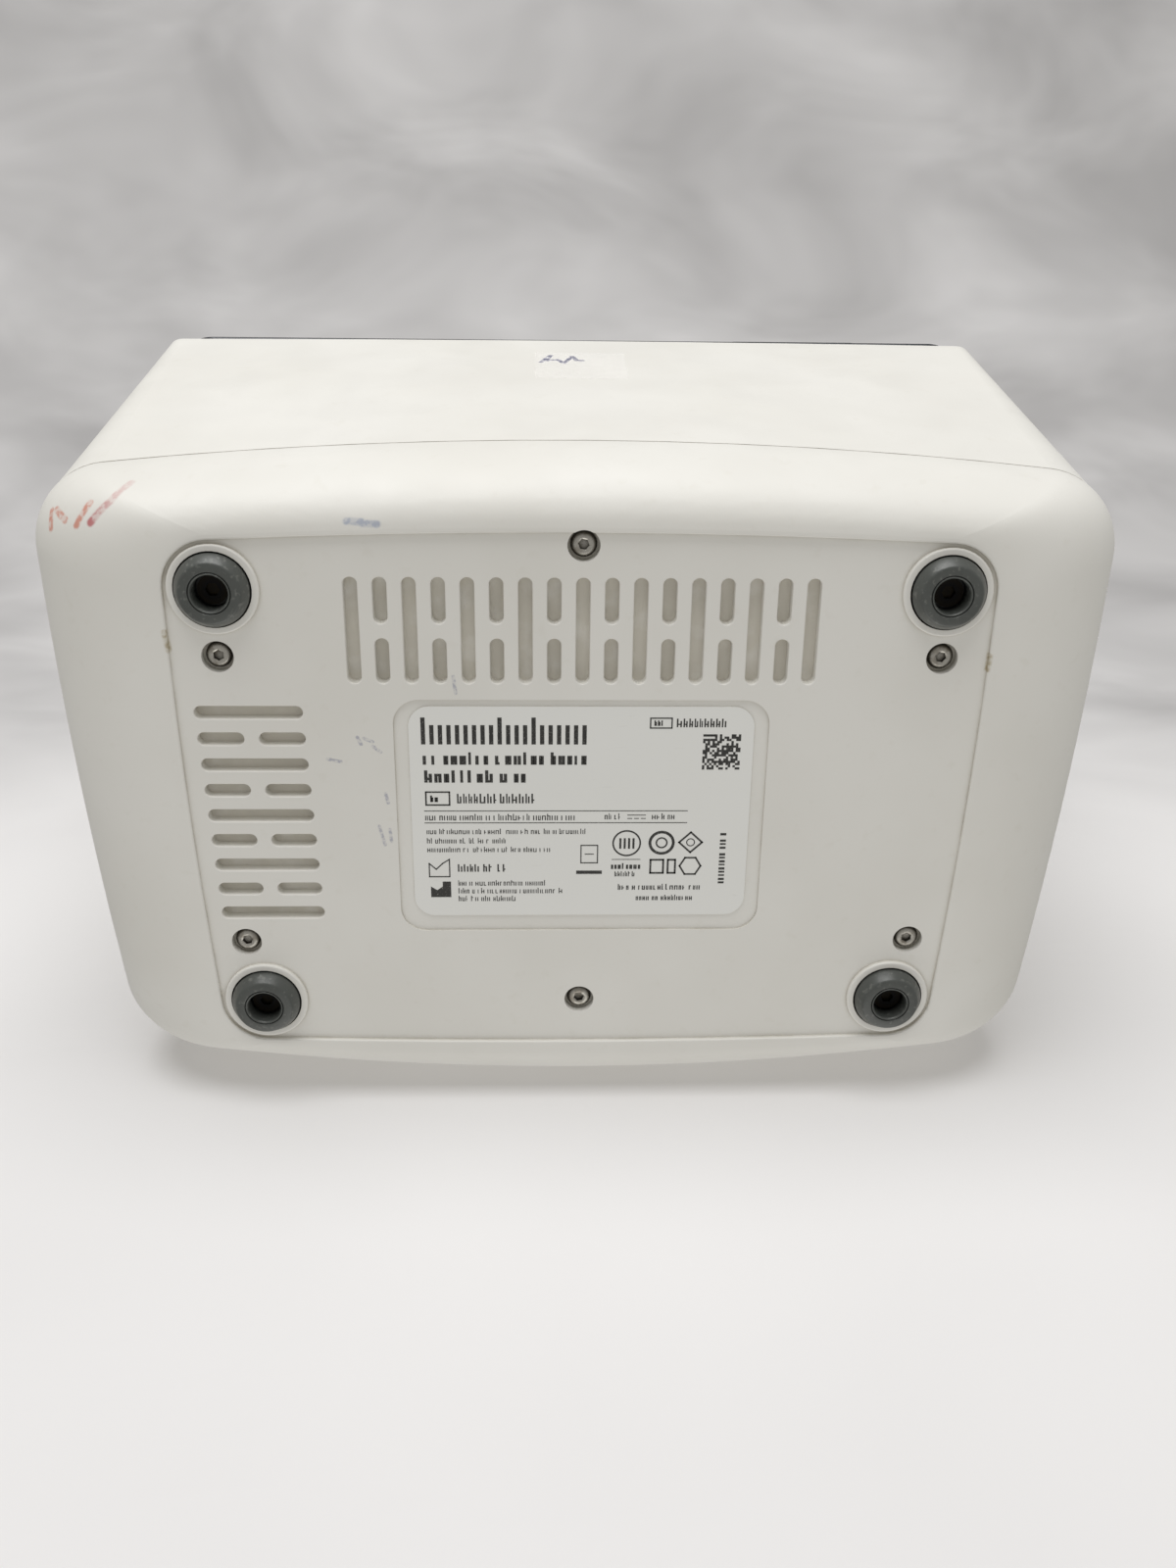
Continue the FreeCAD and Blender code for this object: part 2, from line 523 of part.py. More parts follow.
def optics_frame():
    """Cast column: foot on the chassis, back wall, shelf for the guide and an arm for the lamp."""
    x0, x1 = COLUMN_X
    foot_plate = box(x0, x1, -50, 4, CHASSIS_TOP, COLUMN_FOOT)
    wall = box(x0, x1, 0, 4, COLUMN_FOOT, ARM_Z[1])
    shelf = box(PORT_X - 20, PORT_X + 20, GUIDE_FRONT, 0, *SHELF_Z)
    arm = box(PORT_X - 10, PORT_X + 10, OPTIC_Y - 10, 0, *ARM_Z)
    gussets = [gusset(x) for x in (x0, x1 - GUSSET_THICK)]
    bridge = box(x0, x1, -40, 0, *SHELF_Z)
    latch_shelf = box(PORT_X - 9, PORT_X + 9, 4, 14, 121.0, 125.0)
    body = fused([foot_plate, wall, shelf, arm, bridge, latch_shelf] + gussets)
    holes = [rod(PORT_X, OPTIC_Y, 100, 130, 12.0), rod(PORT_X, OPTIC_Y, 150, 170, 4.0),
             rod(PORT_X, DRIVE_Y, 110, 130, 4.5), box(PORT_X - 9.2, PORT_X + 9.2, -1, 5, 125.0, 138.2),
             box(PORT_X - 20, PORT_X + 20, -1, 5, 60, 110)]
    holes += [rod(PORT_X + sx * ROD_X, DRIVE_Y, 10, 130, ROD_R) for sx in (-1, 1)]
    holes += [rod(x, y, 10, 30, 1.6) for x, y in column_screw_places()]
    return body.cut(holes).removeSplitter()


def column_screw_places():
    return [(x, y) for x in (COLUMN_X[0] + 5, COLUMN_X[1] - 5) for y in (-45.0, -6.0)]


def column_screws():
    return Part.makeCompound([rod(x, y, COLUMN_FOOT, COLUMN_FOOT + 1.8, 2.8).fuse(
        rod(x, y, CHASSIS_Z - 2, COLUMN_FOOT, 1.5)) for x, y in column_screw_places()])


def focus_rods():
    return Part.makeCompound([rod(PORT_X + sx * ROD_X, DRIVE_Y, CHASSIS_TOP, SHELF_Z[1], ROD_R)
                              for sx in (-1, 1)])


def focus_motor():
    """Small stepper: can, front boss and terminal block."""
    can = rod(PORT_X, DRIVE_Y, COLUMN_FOOT, MOTOR_TOP - 2, 9.4)
    can = rounded(can, 0.8, lambda e: level(e, MOTOR_TOP - 2))
    boss = rod(PORT_X, DRIVE_Y, MOTOR_TOP - 2.5, MOTOR_TOP, 4.0)
    block = box(PORT_X + 6, PORT_X + 13, DRIVE_Y - 5, DRIVE_Y + 5, COLUMN_FOOT + 3, COLUMN_FOOT + 12)
    return fused([can, boss, block]).cut(rod(PORT_X, DRIVE_Y, 30, MOTOR_TOP + 1, ROD_R + RUN))


def focus_screw():
    """Lead screw with its motor shaft end and a thrust collar."""
    shaft = rod(PORT_X, DRIVE_Y, 31.0, SHELF_Z[0] + 3.2, ROD_R)
    collar = rod(PORT_X, DRIVE_Y, MOTOR_TOP + 0.3, MOTOR_TOP + 3.3, 3.6)
    flat = box(PORT_X + 3.0, PORT_X + 5, DRIVE_Y - 5, DRIVE_Y + 5, MOTOR_TOP, MOTOR_TOP + 4)
    return shaft.fuse(collar).removeSplitter().cut(flat)


def screw_bearing():
    """Flanged bush in the shelf that holds the screw's upper end."""
    flange = rod(PORT_X, DRIVE_Y, SHELF_Z[0] - 1.2, SHELF_Z[0], 6.0)
    bush = rod(PORT_X, DRIVE_Y, SHELF_Z[0], SHELF_Z[1], 4.5).fuse(flange)
    return bush.removeSplitter().cut(rod(PORT_X, DRIVE_Y, SHELF_Z[0] - 2, SHELF_Z[0] + 3.3, ROD_R + RUN))


def lens_carriage():
    """Block that slides on the two rods and clamps the objective in its ring."""
    z0, z1 = BLOCK_Z
    block = rounded_plate(PORT_X, DRIVE_Y, 44, 13, 3, z0, z1)
    ring = rod(PORT_X, OPTIC_Y, z0, z1, BARREL_R + 3.0)
    web = box(PORT_X - 8, PORT_X + 8, OPTIC_Y, DRIVE_Y, z0, z1)
    bores = [rod(PORT_X, OPTIC_Y, z0 - 1, z1 + 1, BARREL_R), rod(PORT_X, DRIVE_Y, z0 - 1, z1 + 1, NUT_R)]
    bores += [rod(PORT_X + sx * ROD_X, DRIVE_Y, z0 - 1, z1 + 1, ROD_R + RUN) for sx in (-1, 1)]
    return fused([block, ring, web]).cut(bores)


def focus_nut():
    z0, z1 = BLOCK_Z
    nut = rod(PORT_X, DRIVE_Y, z0, z1, NUT_R).fuse(rod(PORT_X, DRIVE_Y, z0 - 2.0, z0, 6.2))
    return nut.removeSplitter().cut(rod(PORT_X, DRIVE_Y, z0 - 3, z1 + 1, ROD_R + RUN))


def objective_barrel():
    """Stepped barrel with a conical nose."""
    return turned([(7.4, 66.0), (BARREL_R, 66.0), (BARREL_R, 98.0), (8.8, 100.0), (8.8, 104.0), (5.8, 110.5),
                   (4.4, 110.5), (4.4, 107.0), (7.4, 102.0)], PORT_X, OPTIC_Y)


def lens(r, z, thick, bulge):
    """A lens with two bulging faces."""
    radius = (r * r + bulge * bulge) / (2 * bulge)
    slab = rod(PORT_X, OPTIC_Y, z - thick / 2 - bulge, z + thick / 2 + bulge, r)
    low = Part.makeSphere(radius, V(PORT_X, OPTIC_Y, z - thick / 2 - bulge + radius))
    high = Part.makeSphere(radius, V(PORT_X, OPTIC_Y, z + thick / 2 + bulge - radius))
    return slab.common(low).common(high)


def objective_lenses():
    rear, middle, front = lens(7.4, 72.0, 1.6, 1.2), lens(7.4, 80.0, 1.4, 1.0), lens(7.4, 96.0, 1.6, 1.4)
    return Part.makeCompound([rear, middle, front])


def focus_spring():
    """Anti-backlash spring round the left rod, between the carriage and the shelf."""
    wire, radius, pitch = 0.45, 3.4, 4.0
    z0, z1 = BLOCK_Z[1] + wire + 0.05, SHELF_Z[0] - wire - 0.05
    helix = Part.makeHelix(pitch, z1 - z0, radius)
    profile = Part.Wire([Part.makeCircle(wire, V(radius, 0, 0), V(0, 1, 0))])
    spring = Part.Wire(helix.Edges).makePipeShell([profile], True, True)
    spring.translate(V(PORT_X - ROD_X, DRIVE_Y, z0))
    return spring


def led_board():
    board = box(PORT_X - 9, PORT_X + 9, OPTIC_Y - 9, OPTIC_Y + 9, ARM_Z[0] - 1.6, ARM_Z[0])
    chip = box(PORT_X - 2, PORT_X + 2, OPTIC_Y - 2, OPTIC_Y + 2, ARM_Z[0] - 2.6, ARM_Z[0] - 1.6)
    return board.fuse(chip).removeSplitter()


def condenser_holder():
    return tube(PORT_X, OPTIC_Y, GUIDE_TOP, ARM_Z[0] - 1.6, 8.6, 6.5)


def condenser_lens():
    return lens(6.5, 150.0, 2.2, 1.4)


def camera_board():
    board = box(PORT_X - 14, PORT_X + 14, OPTIC_Y - 14, OPTIC_Y + 11.5, 32.0, 33.6)
    legs = [rod(PORT_X + sx * 11, y, COLUMN_FOOT, 32.0, 2.0)
            for sx in (-1, 1) for y in (OPTIC_Y - 11, OPTIC_Y + 8.5)]
    return board.fuse(legs).removeSplitter()


def camera_sensor():
    chip = box(PORT_X - 6, PORT_X + 6, OPTIC_Y - 6, OPTIC_Y + 6, 33.6, 35.2)
    return chip.cut(box(PORT_X - 4, PORT_X + 4, OPTIC_Y - 3, OPTIC_Y + 3, 34.8, 36))


def camera_tube():
    profile = [(8.6, 33.6), (10.6, 33.6), (10.6, 38.0), (9.4, 39.0), (9.4, 64.0), (8.6, 64.0)]
    return turned(profile, PORT_X, OPTIC_Y)


# ---- chassis and electronics --------------------------------------------------------------------------
BOARD_Z = 26.0
BOARD = (-82.0, 22.0, -38.0, 50.0)
BOARD_SCREWS = [(-78.0, -34.0), (18.0, -34.0), (-78.0, 46.0), (18.0, 46.0)]


def chassis_plate():
    plate = rounded_plate(0, 6.5, 172, 99, 6, CHASSIS_Z, CHASSIS_TOP)
    holes = [rod(x, y, 10, 30, 1.6) for x, y in CORNER_SCREWS + column_screw_places() + BOARD_SCREWS]
    holes += [rod(x, y, 10, 30, 6.0) for x, y in CENTRE_SCREWS]
    return plate.cut(holes)


def chassis_posts():
    return Part.makeCompound([hexagon(x, y, BOSS_Z, CHASSIS_Z, 6.0).cut(rod(x, y, 0, 30, 1.4))
                              for x, y in CORNER_SCREWS])


def main_board():
    x0, x1, y0, y1 = BOARD
    board = rounded_plate((x0 + x1) / 2, (y0 + y1) / 2, x1 - x0, y1 - y0, 3, BOARD_Z, BOARD_Z + 1.6)
    return board.cut([rod(x, y, 10, 40, 1.6) for x, y in BOARD_SCREWS] + [rod(0, 53.1, 10, 70, 6.0)])


def board_parts():
    """Chips, connectors and coils that stand on the main board."""
    z = BOARD_Z + 1.6
    processor = box(-60, -34, -20, 6, z, z + 2.4)
    memory = [box(-22, -10, y, y + 12, z, z + 1.2) for y in (-18, -2)]
    lead_socket, display_socket = box(-50, -20, 38, 46, z, z + 7), box(-30, -2, -36, -30, z, z + 3.0)
    card_socket, coil = box(-70, -62, 20, 42, z, z + 6), rod(10, 20, z, z + 3.4, 10.0)
    converter = box(6, 18, -20, -8, z, z + 4)
    capacitors = [rod(-74, y, z, z + 9, 3.2) for y in (-10, 2)]
    return Part.makeCompound([processor] + memory + [card_socket, display_socket, converter, lead_socket]
                             + capacitors + [coil])


def heat_sink():
    z = BOARD_Z + 4.0
    base = box(-62, -32, -22, 8, z, z + 2.5)
    fins = [box(-62 + i * 4.3, -62 + i * 4.3 + 1.3, -22, 8, z + 2.5, z + 14) for i in range(7)]
    return fused([base] + fins)


def board_spacers():
    return Part.makeCompound([tube(x, y, CHASSIS_TOP, BOARD_Z, 3.0, 1.5) for x, y in BOARD_SCREWS])


def board_screws():
    z = BOARD_Z + 1.6
    return Part.makeCompound([rod(x, y, z, z + 1.8, 2.7).fuse(rod(x, y, CHASSIS_Z - 1.0, z, 1.5))
                              for x, y in BOARD_SCREWS])


def speaker():
    """Small loudspeaker on the chassis, behind the board."""
    case = rounded_plate(-30, 57, 28, 10, 1.5, CHASSIS_TOP, CHASSIS_TOP + 9)
    cone = rod(-30, 57, CHASSIS_TOP + 9, CHASSIS_TOP + 9.8, 4.2)
    return case.fuse(cone).removeSplitter()


def vent_baffle(x0, x1, y0, y1, shift=0.0):
    """Pale sheet behind a block of slots, which hides the inside. Its rear edge may be shifted along x."""
    points = [V(x0, y0, FLOOR_Z), V(x1, y0, FLOOR_Z), V(x1 + shift, y1, FLOOR_Z), V(x0 + shift, y1, FLOOR_Z),
              V(x0, y0, FLOOR_Z)]
    return Part.Face(Part.makePolygon(points)).extrude(V(0, 0, 0.8))


def front_usb_port():
    """Socket for a memory stick in the lower left of the bezel."""
    shell = on_slope(box(-68.5, -55.5, 6.4, 12.0, -9.0, BEZEL_PROUD - 0.2))
    hollow = on_slope(box(-68.1, -55.9, 6.8, 11.6, -8.2, 20))
    tongue = on_slope(box(-67.0, -57.0, 9.2, 11.0, -8.6, -0.6))
    back = -BEZEL_SINK - LEDGE
    flange = on_slope(box(-71.0, -53.0, 3.2, 15.2, back - 1.2, back))
    return shell.fuse(flange).removeSplitter().cut(hollow).fuse(tongue).removeSplitter()


# ---- rear connectors ----------------------------------------------------------------------------------
def rear_port_plate():
    """Inset plate in the rear recess that carries the power socket and the switch."""
    plate = ports_block(-0.2, PORTS_Y, PORTS_Y + 2.0)
    plate = plate.makeFillet(2.8, along_y(plate))
    jack = Part.makeCylinder(4.6, 10, V(JACK_X, PORTS_Y - 3, PORTS_Z), V(0, 1, 0))
    switch = box(SWITCH_X - 6.6, SWITCH_X + 6.6, PORTS_Y - 3, PORTS_Y + 5, PORTS_Z - 9.7, PORTS_Z + 9.7)
    screws = [Part.makeCylinder(1.3, 10, V(PORTS_X + sx * 27.5, PORTS_Y - 3, PORTS_Z + sz * 11.5), V(0, 1, 0))
              for sx in (-1, 1) for sz in (-1, 1)]
    return plate.cut([jack, switch] + screws)


def plate_screws():
    screws = []
    for sx in (-1, 1):
        for sz in (-1, 1):
            place = V(PORTS_X + sx * 27.5, PORTS_Y + 2.0, PORTS_Z + sz * 11.5)
            head = Part.makeCylinder(2.2, 1.2, place, V(0, 1, 0))
            shank = Part.makeCylinder(1.25, 2.0, place - V(0, 2.0, 0), V(0, 1, 0))
            cross = [box(place.x - a, place.x + a, place.y + 0.6, place.y + 2, place.z - b, place.z + b)
                     for a, b in ((1.6, 0.3), (0.3, 1.6))]
            screws.append(head.fuse(shank).cut(cross))
    return Part.makeCompound(screws)


def dc_inlet():
    """Barrel socket with its centre pin."""
    def along(y0, y1, r):
        return Part.makeCylinder(r, y1 - y0, V(JACK_X, y0, PORTS_Z), V(0, 1, 0))
    neck, rear = along(PORTS_Y - 1.0, PORTS_Y + 2.6, 4.55), along(PORTS_Y - 13, PORTS_Y - 1.0, 5.6)
    rim, bore = along(PORTS_Y + 2.0, PORTS_Y + 2.8, 5.8), along(PORTS_Y - 10, PORTS_Y + 4, 3.2)
    pin = along(PORTS_Y - 11, PORTS_Y + 0.5, 1.0)
    return fused([neck, rear, rim]).cut(bore).fuse(pin).removeSplitter()


PIVOT_Y, PIVOT_R = PORTS_Y + 1.0, 1.5


def rocker_profile(reach):
    """Side view of the rocker about its pivot: a shallow valley on the outer face."""
    half, deep = 8.0, 5.0
    points = [V(0, PIVOT_Y - 4.0, PORTS_Z - 5.2), V(0, PIVOT_Y + reach, PORTS_Z - half),
              V(0, PIVOT_Y + reach - 1.6, PORTS_Z), V(0, PIVOT_Y + reach, PORTS_Z + half),
              V(0, PIVOT_Y - 4.0, PORTS_Z + 5.2)]
    valley = Part.Arc(points[1], points[2], points[3]).toShape()
    sides = [Part.LineSegment(points[a], points[b]).toShape() for a, b in ((3, 4), (4, 0), (0, 1))]
    return Part.Face(Part.Wire([valley] + sides))


def power_rocker():
    rocker = rocker_profile(3.6).extrude(V(9.6, 0, 0))
    rocker.translate(V(SWITCH_X - 4.8, 0, 0))
    pins = Part.makeCylinder(PIVOT_R, 11.0, V(SWITCH_X - 5.5, PIVOT_Y, PORTS_Z), V(1, 0, 0))
    rocker = rocker.fuse(pins).removeSplitter()
    rocker.rotate(V(SWITCH_X, PIVOT_Y, PORTS_Z), V(1, 0, 0), ROCKER_TILT)
    return rocker


def switch_housing():
    """Switch body with a rim on the plate, and two bearings for the rocker's pivot."""
    rim = box(SWITCH_X - 8, SWITCH_X + 8, PORTS_Y + 2.0, PORTS_Y + 3.4, PORTS_Z - 11, PORTS_Z + 11)
    rim = rounded(rim, 0.5, lambda e: e.BoundBox.YMin > PORTS_Y + 3.3)
    body = box(SWITCH_X - 6.5, SWITCH_X + 6.5, PORTS_Y - 14, PORTS_Y + 2.0, PORTS_Z - 9.6, PORTS_Z + 9.6)
    hollow = box(SWITCH_X - 5.0, SWITCH_X + 5.0, PORTS_Y - 7, PORTS_Y + 9, PORTS_Z - 8.9, PORTS_Z + 8.9)
    bearing = Part.makeCylinder(PIVOT_R + RUN, 11.3, V(SWITCH_X - 5.65, PIVOT_Y, PORTS_Z), V(1, 0, 0))
    blades = [box(SWITCH_X - 3, SWITCH_X + 3, PORTS_Y - 22, PORTS_Y - 14, PORTS_Z + dz, PORTS_Z + dz + 0.8)
              for dz in (-5.0, 4.2)]
    return rim.fuse([body] + blades).removeSplitter().cut([hollow, bearing])


# ---- cables -------------------------------------------------------------------------------------------
def arc_path(points, radius):
    """Straight runs joined by tangent arcs."""
    edges, start = [], points[0]
    for before, corner, after in zip(points, points[1:], points[2:]):
        into, out = (corner - before).normalize(), (after - corner).normalize()
        turn = into.getAngle(out)
        trim = radius * math.tan(turn / 2)
        a, b = corner - into * trim, corner + out * trim
        inward = (out - into).normalize()
        middle = corner + inward * (radius / math.cos(turn / 2) - radius)
        edges += [Part.LineSegment(start, a).toShape(), Part.Arc(a, middle, b).toShape()]
        start = b
    edges.append(Part.LineSegment(start, points[-1]).toShape())
    return Part.Wire(edges)


def ribbon(points, radius, width, thick=0.35):
    """Flat flexible cable: the path is drawn across x and widened along x."""
    path = arc_path(points, radius)
    first = (points[1] - points[0]).normalize()
    side = first.cross(V(1, 0, 0)).normalize() * (thick / 2)
    across = V(width / 2, 0, 0)
    corners = [points[0] + side + across, points[0] - side + across, points[0] - side - across,
               points[0] + side - across, points[0] + side + across]
    return path.makePipeShell([Part.makePolygon(corners)], True, False)


def display_cable():
    back = -BEZEL_SINK - LCD[2] - 1.3
    top = slope_point(0, 36.5, back)
    route = [top, top + V(0, 9, 0), V(0, top.y + 9, 60), V(0, -33, BOARD_Z + 16), V(0, -33, BOARD_Z + 4.6)]
    return ribbon(route, 4.0, 20.0)


def camera_cable():
    cable = box(BOARD[1] - 4, PORT_X - 14, OPTIC_Y + 4, OPTIC_Y + 12, 32.6, 33.0)
    drop = box(BOARD[1] - 4.4, BOARD[1] - 4, OPTIC_Y + 4, OPTIC_Y + 12, BOARD_Z + 5.6, 33.0)
    return cable.fuse(drop).removeSplitter()


def power_leads():
    """Two wires from the socket to the main board."""
    leads = []
    for dx in (-2.2, 2.2):
        start = V(JACK_X + dx, PORTS_Y - 13, PORTS_Z)
        route = [start, V(JACK_X + dx, 44, PORTS_Z), V(-26 + dx, 42, PORTS_Z - 4 + dx),
                 V(-26 + dx, 42, BOARD_Z + 8.6)]
        path = arc_path(route, 5.0)
        profile = Part.Wire([Part.makeCircle(0.9, start, V(0, 1, 0))])
        leads.append(path.makePipeShell([profile], True, True))
    return Part.makeCompound(leads)


# ---- all sub-parts ------------------------------------------------------------------------------------
for foot_name, foot_x, foot_y in FEET:
    save(foot_name, foot(foot_x, foot_y))

save("foot_screws", Part.makeCompound([foot_screw(x, y) for name, x, y in FEET]))
save("base_screws", Part.makeCompound([base_screw(x, y) for x, y in CORNER_SCREWS + CENTRE_SCREWS]))
save("front_vent_baffle", vent_baffle(-51.5, 51.5, -45.7, -20.5))
save("side_vent_baffle", vent_baffle(-81.1, -56.5, -18.6, 32.3, 1.8))

for make in (
        bottom_casing, main_housing, front_bezel, touch_panel, lcd_module, screen_bracket, screen_screws,
        rating_label, tape_sticker, slide_port_insert, slide_guide, guide_cover, slide_carriage, slide_stop,
        push_latch, optics_frame, column_screws, focus_rods, focus_motor, focus_screw, screw_bearing,
        lens_carriage, focus_nut, objective_barrel, objective_lenses, focus_spring, led_board,
        condenser_holder, condenser_lens, camera_board, camera_sensor, camera_tube, chassis_plate,
        chassis_posts, main_board, board_parts, heat_sink, board_spacers, board_screws, speaker,
        front_usb_port, rear_port_plate, plate_screws, dc_inlet, power_rocker, switch_housing,
        display_cable, camera_cable, power_leads):
    save(make.__name__, make())
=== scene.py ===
"""Looks of the bench-top cell counter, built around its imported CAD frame.

Row frame, metres: +Z up, the front faces -Y. The counter lies on its back, so the surface under it is the
upright plane behind it, and the camera looks at its base.
"""
import json
import math
import random

import bpy
from mathutils import Matrix, Vector, noise
from mathutils.bvhtree import BVHTree


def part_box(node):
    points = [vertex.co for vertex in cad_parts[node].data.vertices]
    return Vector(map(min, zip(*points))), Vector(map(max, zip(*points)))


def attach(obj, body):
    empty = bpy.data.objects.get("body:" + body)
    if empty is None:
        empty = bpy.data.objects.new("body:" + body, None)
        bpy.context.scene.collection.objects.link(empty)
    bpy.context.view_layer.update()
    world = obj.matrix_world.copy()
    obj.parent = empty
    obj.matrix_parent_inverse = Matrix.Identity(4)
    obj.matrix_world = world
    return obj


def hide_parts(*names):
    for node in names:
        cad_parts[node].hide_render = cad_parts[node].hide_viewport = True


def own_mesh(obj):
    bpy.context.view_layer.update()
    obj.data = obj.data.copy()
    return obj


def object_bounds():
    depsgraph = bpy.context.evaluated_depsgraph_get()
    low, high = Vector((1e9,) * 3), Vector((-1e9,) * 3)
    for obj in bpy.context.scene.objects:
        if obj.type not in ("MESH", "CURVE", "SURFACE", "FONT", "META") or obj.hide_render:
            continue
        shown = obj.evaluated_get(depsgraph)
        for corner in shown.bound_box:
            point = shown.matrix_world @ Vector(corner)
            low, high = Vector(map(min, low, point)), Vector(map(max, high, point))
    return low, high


MM = 0.001

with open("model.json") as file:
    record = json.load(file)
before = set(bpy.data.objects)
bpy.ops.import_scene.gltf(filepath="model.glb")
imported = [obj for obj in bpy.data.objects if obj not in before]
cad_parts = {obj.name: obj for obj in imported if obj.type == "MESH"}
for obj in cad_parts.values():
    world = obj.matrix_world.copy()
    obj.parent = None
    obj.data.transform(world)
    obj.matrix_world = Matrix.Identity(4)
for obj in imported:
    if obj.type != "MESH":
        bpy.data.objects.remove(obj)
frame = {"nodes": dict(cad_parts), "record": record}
cad_low, cad_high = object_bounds()
NODES = frame["nodes"]


# ---- material kit ---------------------------------------------------------------------------------------
def opaque(colour):
    """Gives a plain colour its fourth number. Links and plain numbers pass as they are."""
    return colour + (1.0,) if isinstance(colour, tuple) and len(colour) == 3 else colour


class Look:
    """One procedural material. Its patterns lie in the part's own space, measured in millimetres."""

    def __init__(self, name, metallic=0.0, **shader):
        self.material = bpy.data.materials.new(name)
        self.material.use_nodes = True
        self.tree = self.material.node_tree
        self.shader = self.tree.nodes["Principled BSDF"]
        self.shader.inputs["Metallic"].default_value = metallic
        for socket, value in shader.items():
            self.shader.inputs[socket.replace("_", " ")].default_value = value
        self.place = self.vector("MULTIPLY", self.node("TexCoord").outputs["Object"], (1000.0,) * 3)

    def node(self, kind, **settings):
        """Adds a shader node, with its settings."""
        made = self.tree.nodes.new("ShaderNode" + kind)
        for key, value in settings.items():
            setattr(made, key, value)
        return made

    def join(self, source, socket):
        """Links an output to a socket, or sets the socket to a plain value."""
        if isinstance(source, bpy.types.NodeSocket):
            self.tree.links.new(source, socket)
        else:
            socket.default_value = source

    def math(self, operation, *values, clamp=False):
        """A sum, product or the like of numbers."""
        made = self.node("Math", operation=operation, use_clamp=clamp)
        for value, socket in zip(values, made.inputs):
            self.join(value, socket)
        return made.outputs[0]

    def vector(self, operation, *values, output=0):
        """The same on vectors. Output 1 is the one number of a dot product or a distance."""
        made = self.node("VectorMath", operation=operation)
        for value, socket in zip(values, made.inputs):
            self.join(value, socket)
        return made.outputs[output]

    def noise(self, size, detail=2.0, stretch=None, distortion=0.0):
        """0 to 1 in lumps about size millimetres across, longer along an axis by stretch."""
        place = self.place if stretch is None else self.vector("DIVIDE", self.place, stretch)
        made = self.node("TexNoise")
        self.join(place, made.inputs["Vector"])
        made.inputs["Scale"].default_value = 1.0 / size
        made.inputs["Detail"].default_value = detail
        made.inputs["Distortion"].default_value = distortion
        return made.outputs["Fac"]

    def cells(self, size, spread=1.0):
        """Distance to the nearest of points about size millimetres apart, in units of that size."""
        made = self.node("TexVoronoi", feature="F1")
        self.join(self.place, made.inputs["Vector"])
        made.inputs["Scale"].default_value = 1.0 / size
        made.inputs["Randomness"].default_value = spread
        return made.outputs["Distance"]

    def span(self, value, low, high, to_low=0.0, to_high=1.0, smooth=False):
        """value from low..high becomes to_low..to_high, held at both ends."""
        made = self.node("MapRange", interpolation_type="SMOOTHSTEP" if smooth else "LINEAR")
        for source, socket in zip((value, low, high, to_low, to_high), made.inputs):
            self.join(source, socket)
        return made.outputs[0]

    def mix(self, share, a, b):
        """Colour a where share is 0, and b where it is 1."""
        made = self.node("Mix", data_type="RGBA")
        for source, socket in ((share, made.inputs[0]), (a, made.inputs[6]), (b, made.inputs[7])):
            self.join(opaque(source), socket)
        return made.outputs[2]

    def axis(self, name):
        """One coordinate of the place, in millimetres."""
        made = self.node("SeparateXYZ")
        self.join(self.place, made.inputs[0])
        return made.outputs[name]

    def crevices(self, reach, low=0.35, high=0.85):
        """Ambient occlusion: 1 deep in corners and gaps narrower than reach millimetres, 0 on open faces. A
        colour darkened by it is painted shade.
        """
        made = self.node("AmbientOcclusion", samples=6, only_local=False)
        made.inputs["Distance"].default_value = reach * MM
        return self.span(made.outputs["AO"], low, high, 1.0, 0.0)

    def stroke(self, a, b, width):
        """1 on the straight line from a to b, 0 beyond width millimetres from it, soft between."""
        along = Vector(b) - Vector(a)
        from_a = self.vector("SUBTRACT", self.place, tuple(a))
        dot = self.vector("DOT_PRODUCT", from_a, tuple(along), output=1)
        share = self.math("MULTIPLY", dot, 1.0 / along.length_squared, clamp=True)
        scaled = self.node("VectorMath", operation="SCALE")
        self.join(tuple(along), scaled.inputs[0])
        self.join(share, scaled.inputs["Scale"])
        gap = self.vector("DISTANCE", from_a, scaled.outputs[0], output=1)
        return self.span(gap, width * 0.45, width, 1.0, 0.0, smooth=True)

    def strokes(self, lines, width, wear=0.8):
        """Several strokes in one mask, broken up as by a half-dry pen."""
        mask = 0.0
        for a, b in lines:
            mask = self.math("MAXIMUM", mask, self.stroke(a, b, width))
        broken = self.span(self.noise(width * 1.2, 3.0), 0.42, 0.58, 1.0 - wear, 1.0)
        return self.math("MULTIPLY", mask, broken)

    def finish(self, colour, roughness, height=None, depth=0.0):
        """Joins the maps to the shader. depth is the height of the bump in millimetres."""
        self.join(opaque(colour), self.shader.inputs["Base Color"])
        self.join(roughness, self.shader.inputs["Roughness"])
        if height is not None:
            bump = self.node("Bump")
            bump.inputs["Distance"].default_value = depth * MM
            self.join(height, bump.inputs["Height"])
            self.join(bump.outputs[0], self.shader.inputs["Normal"])
        return self.material


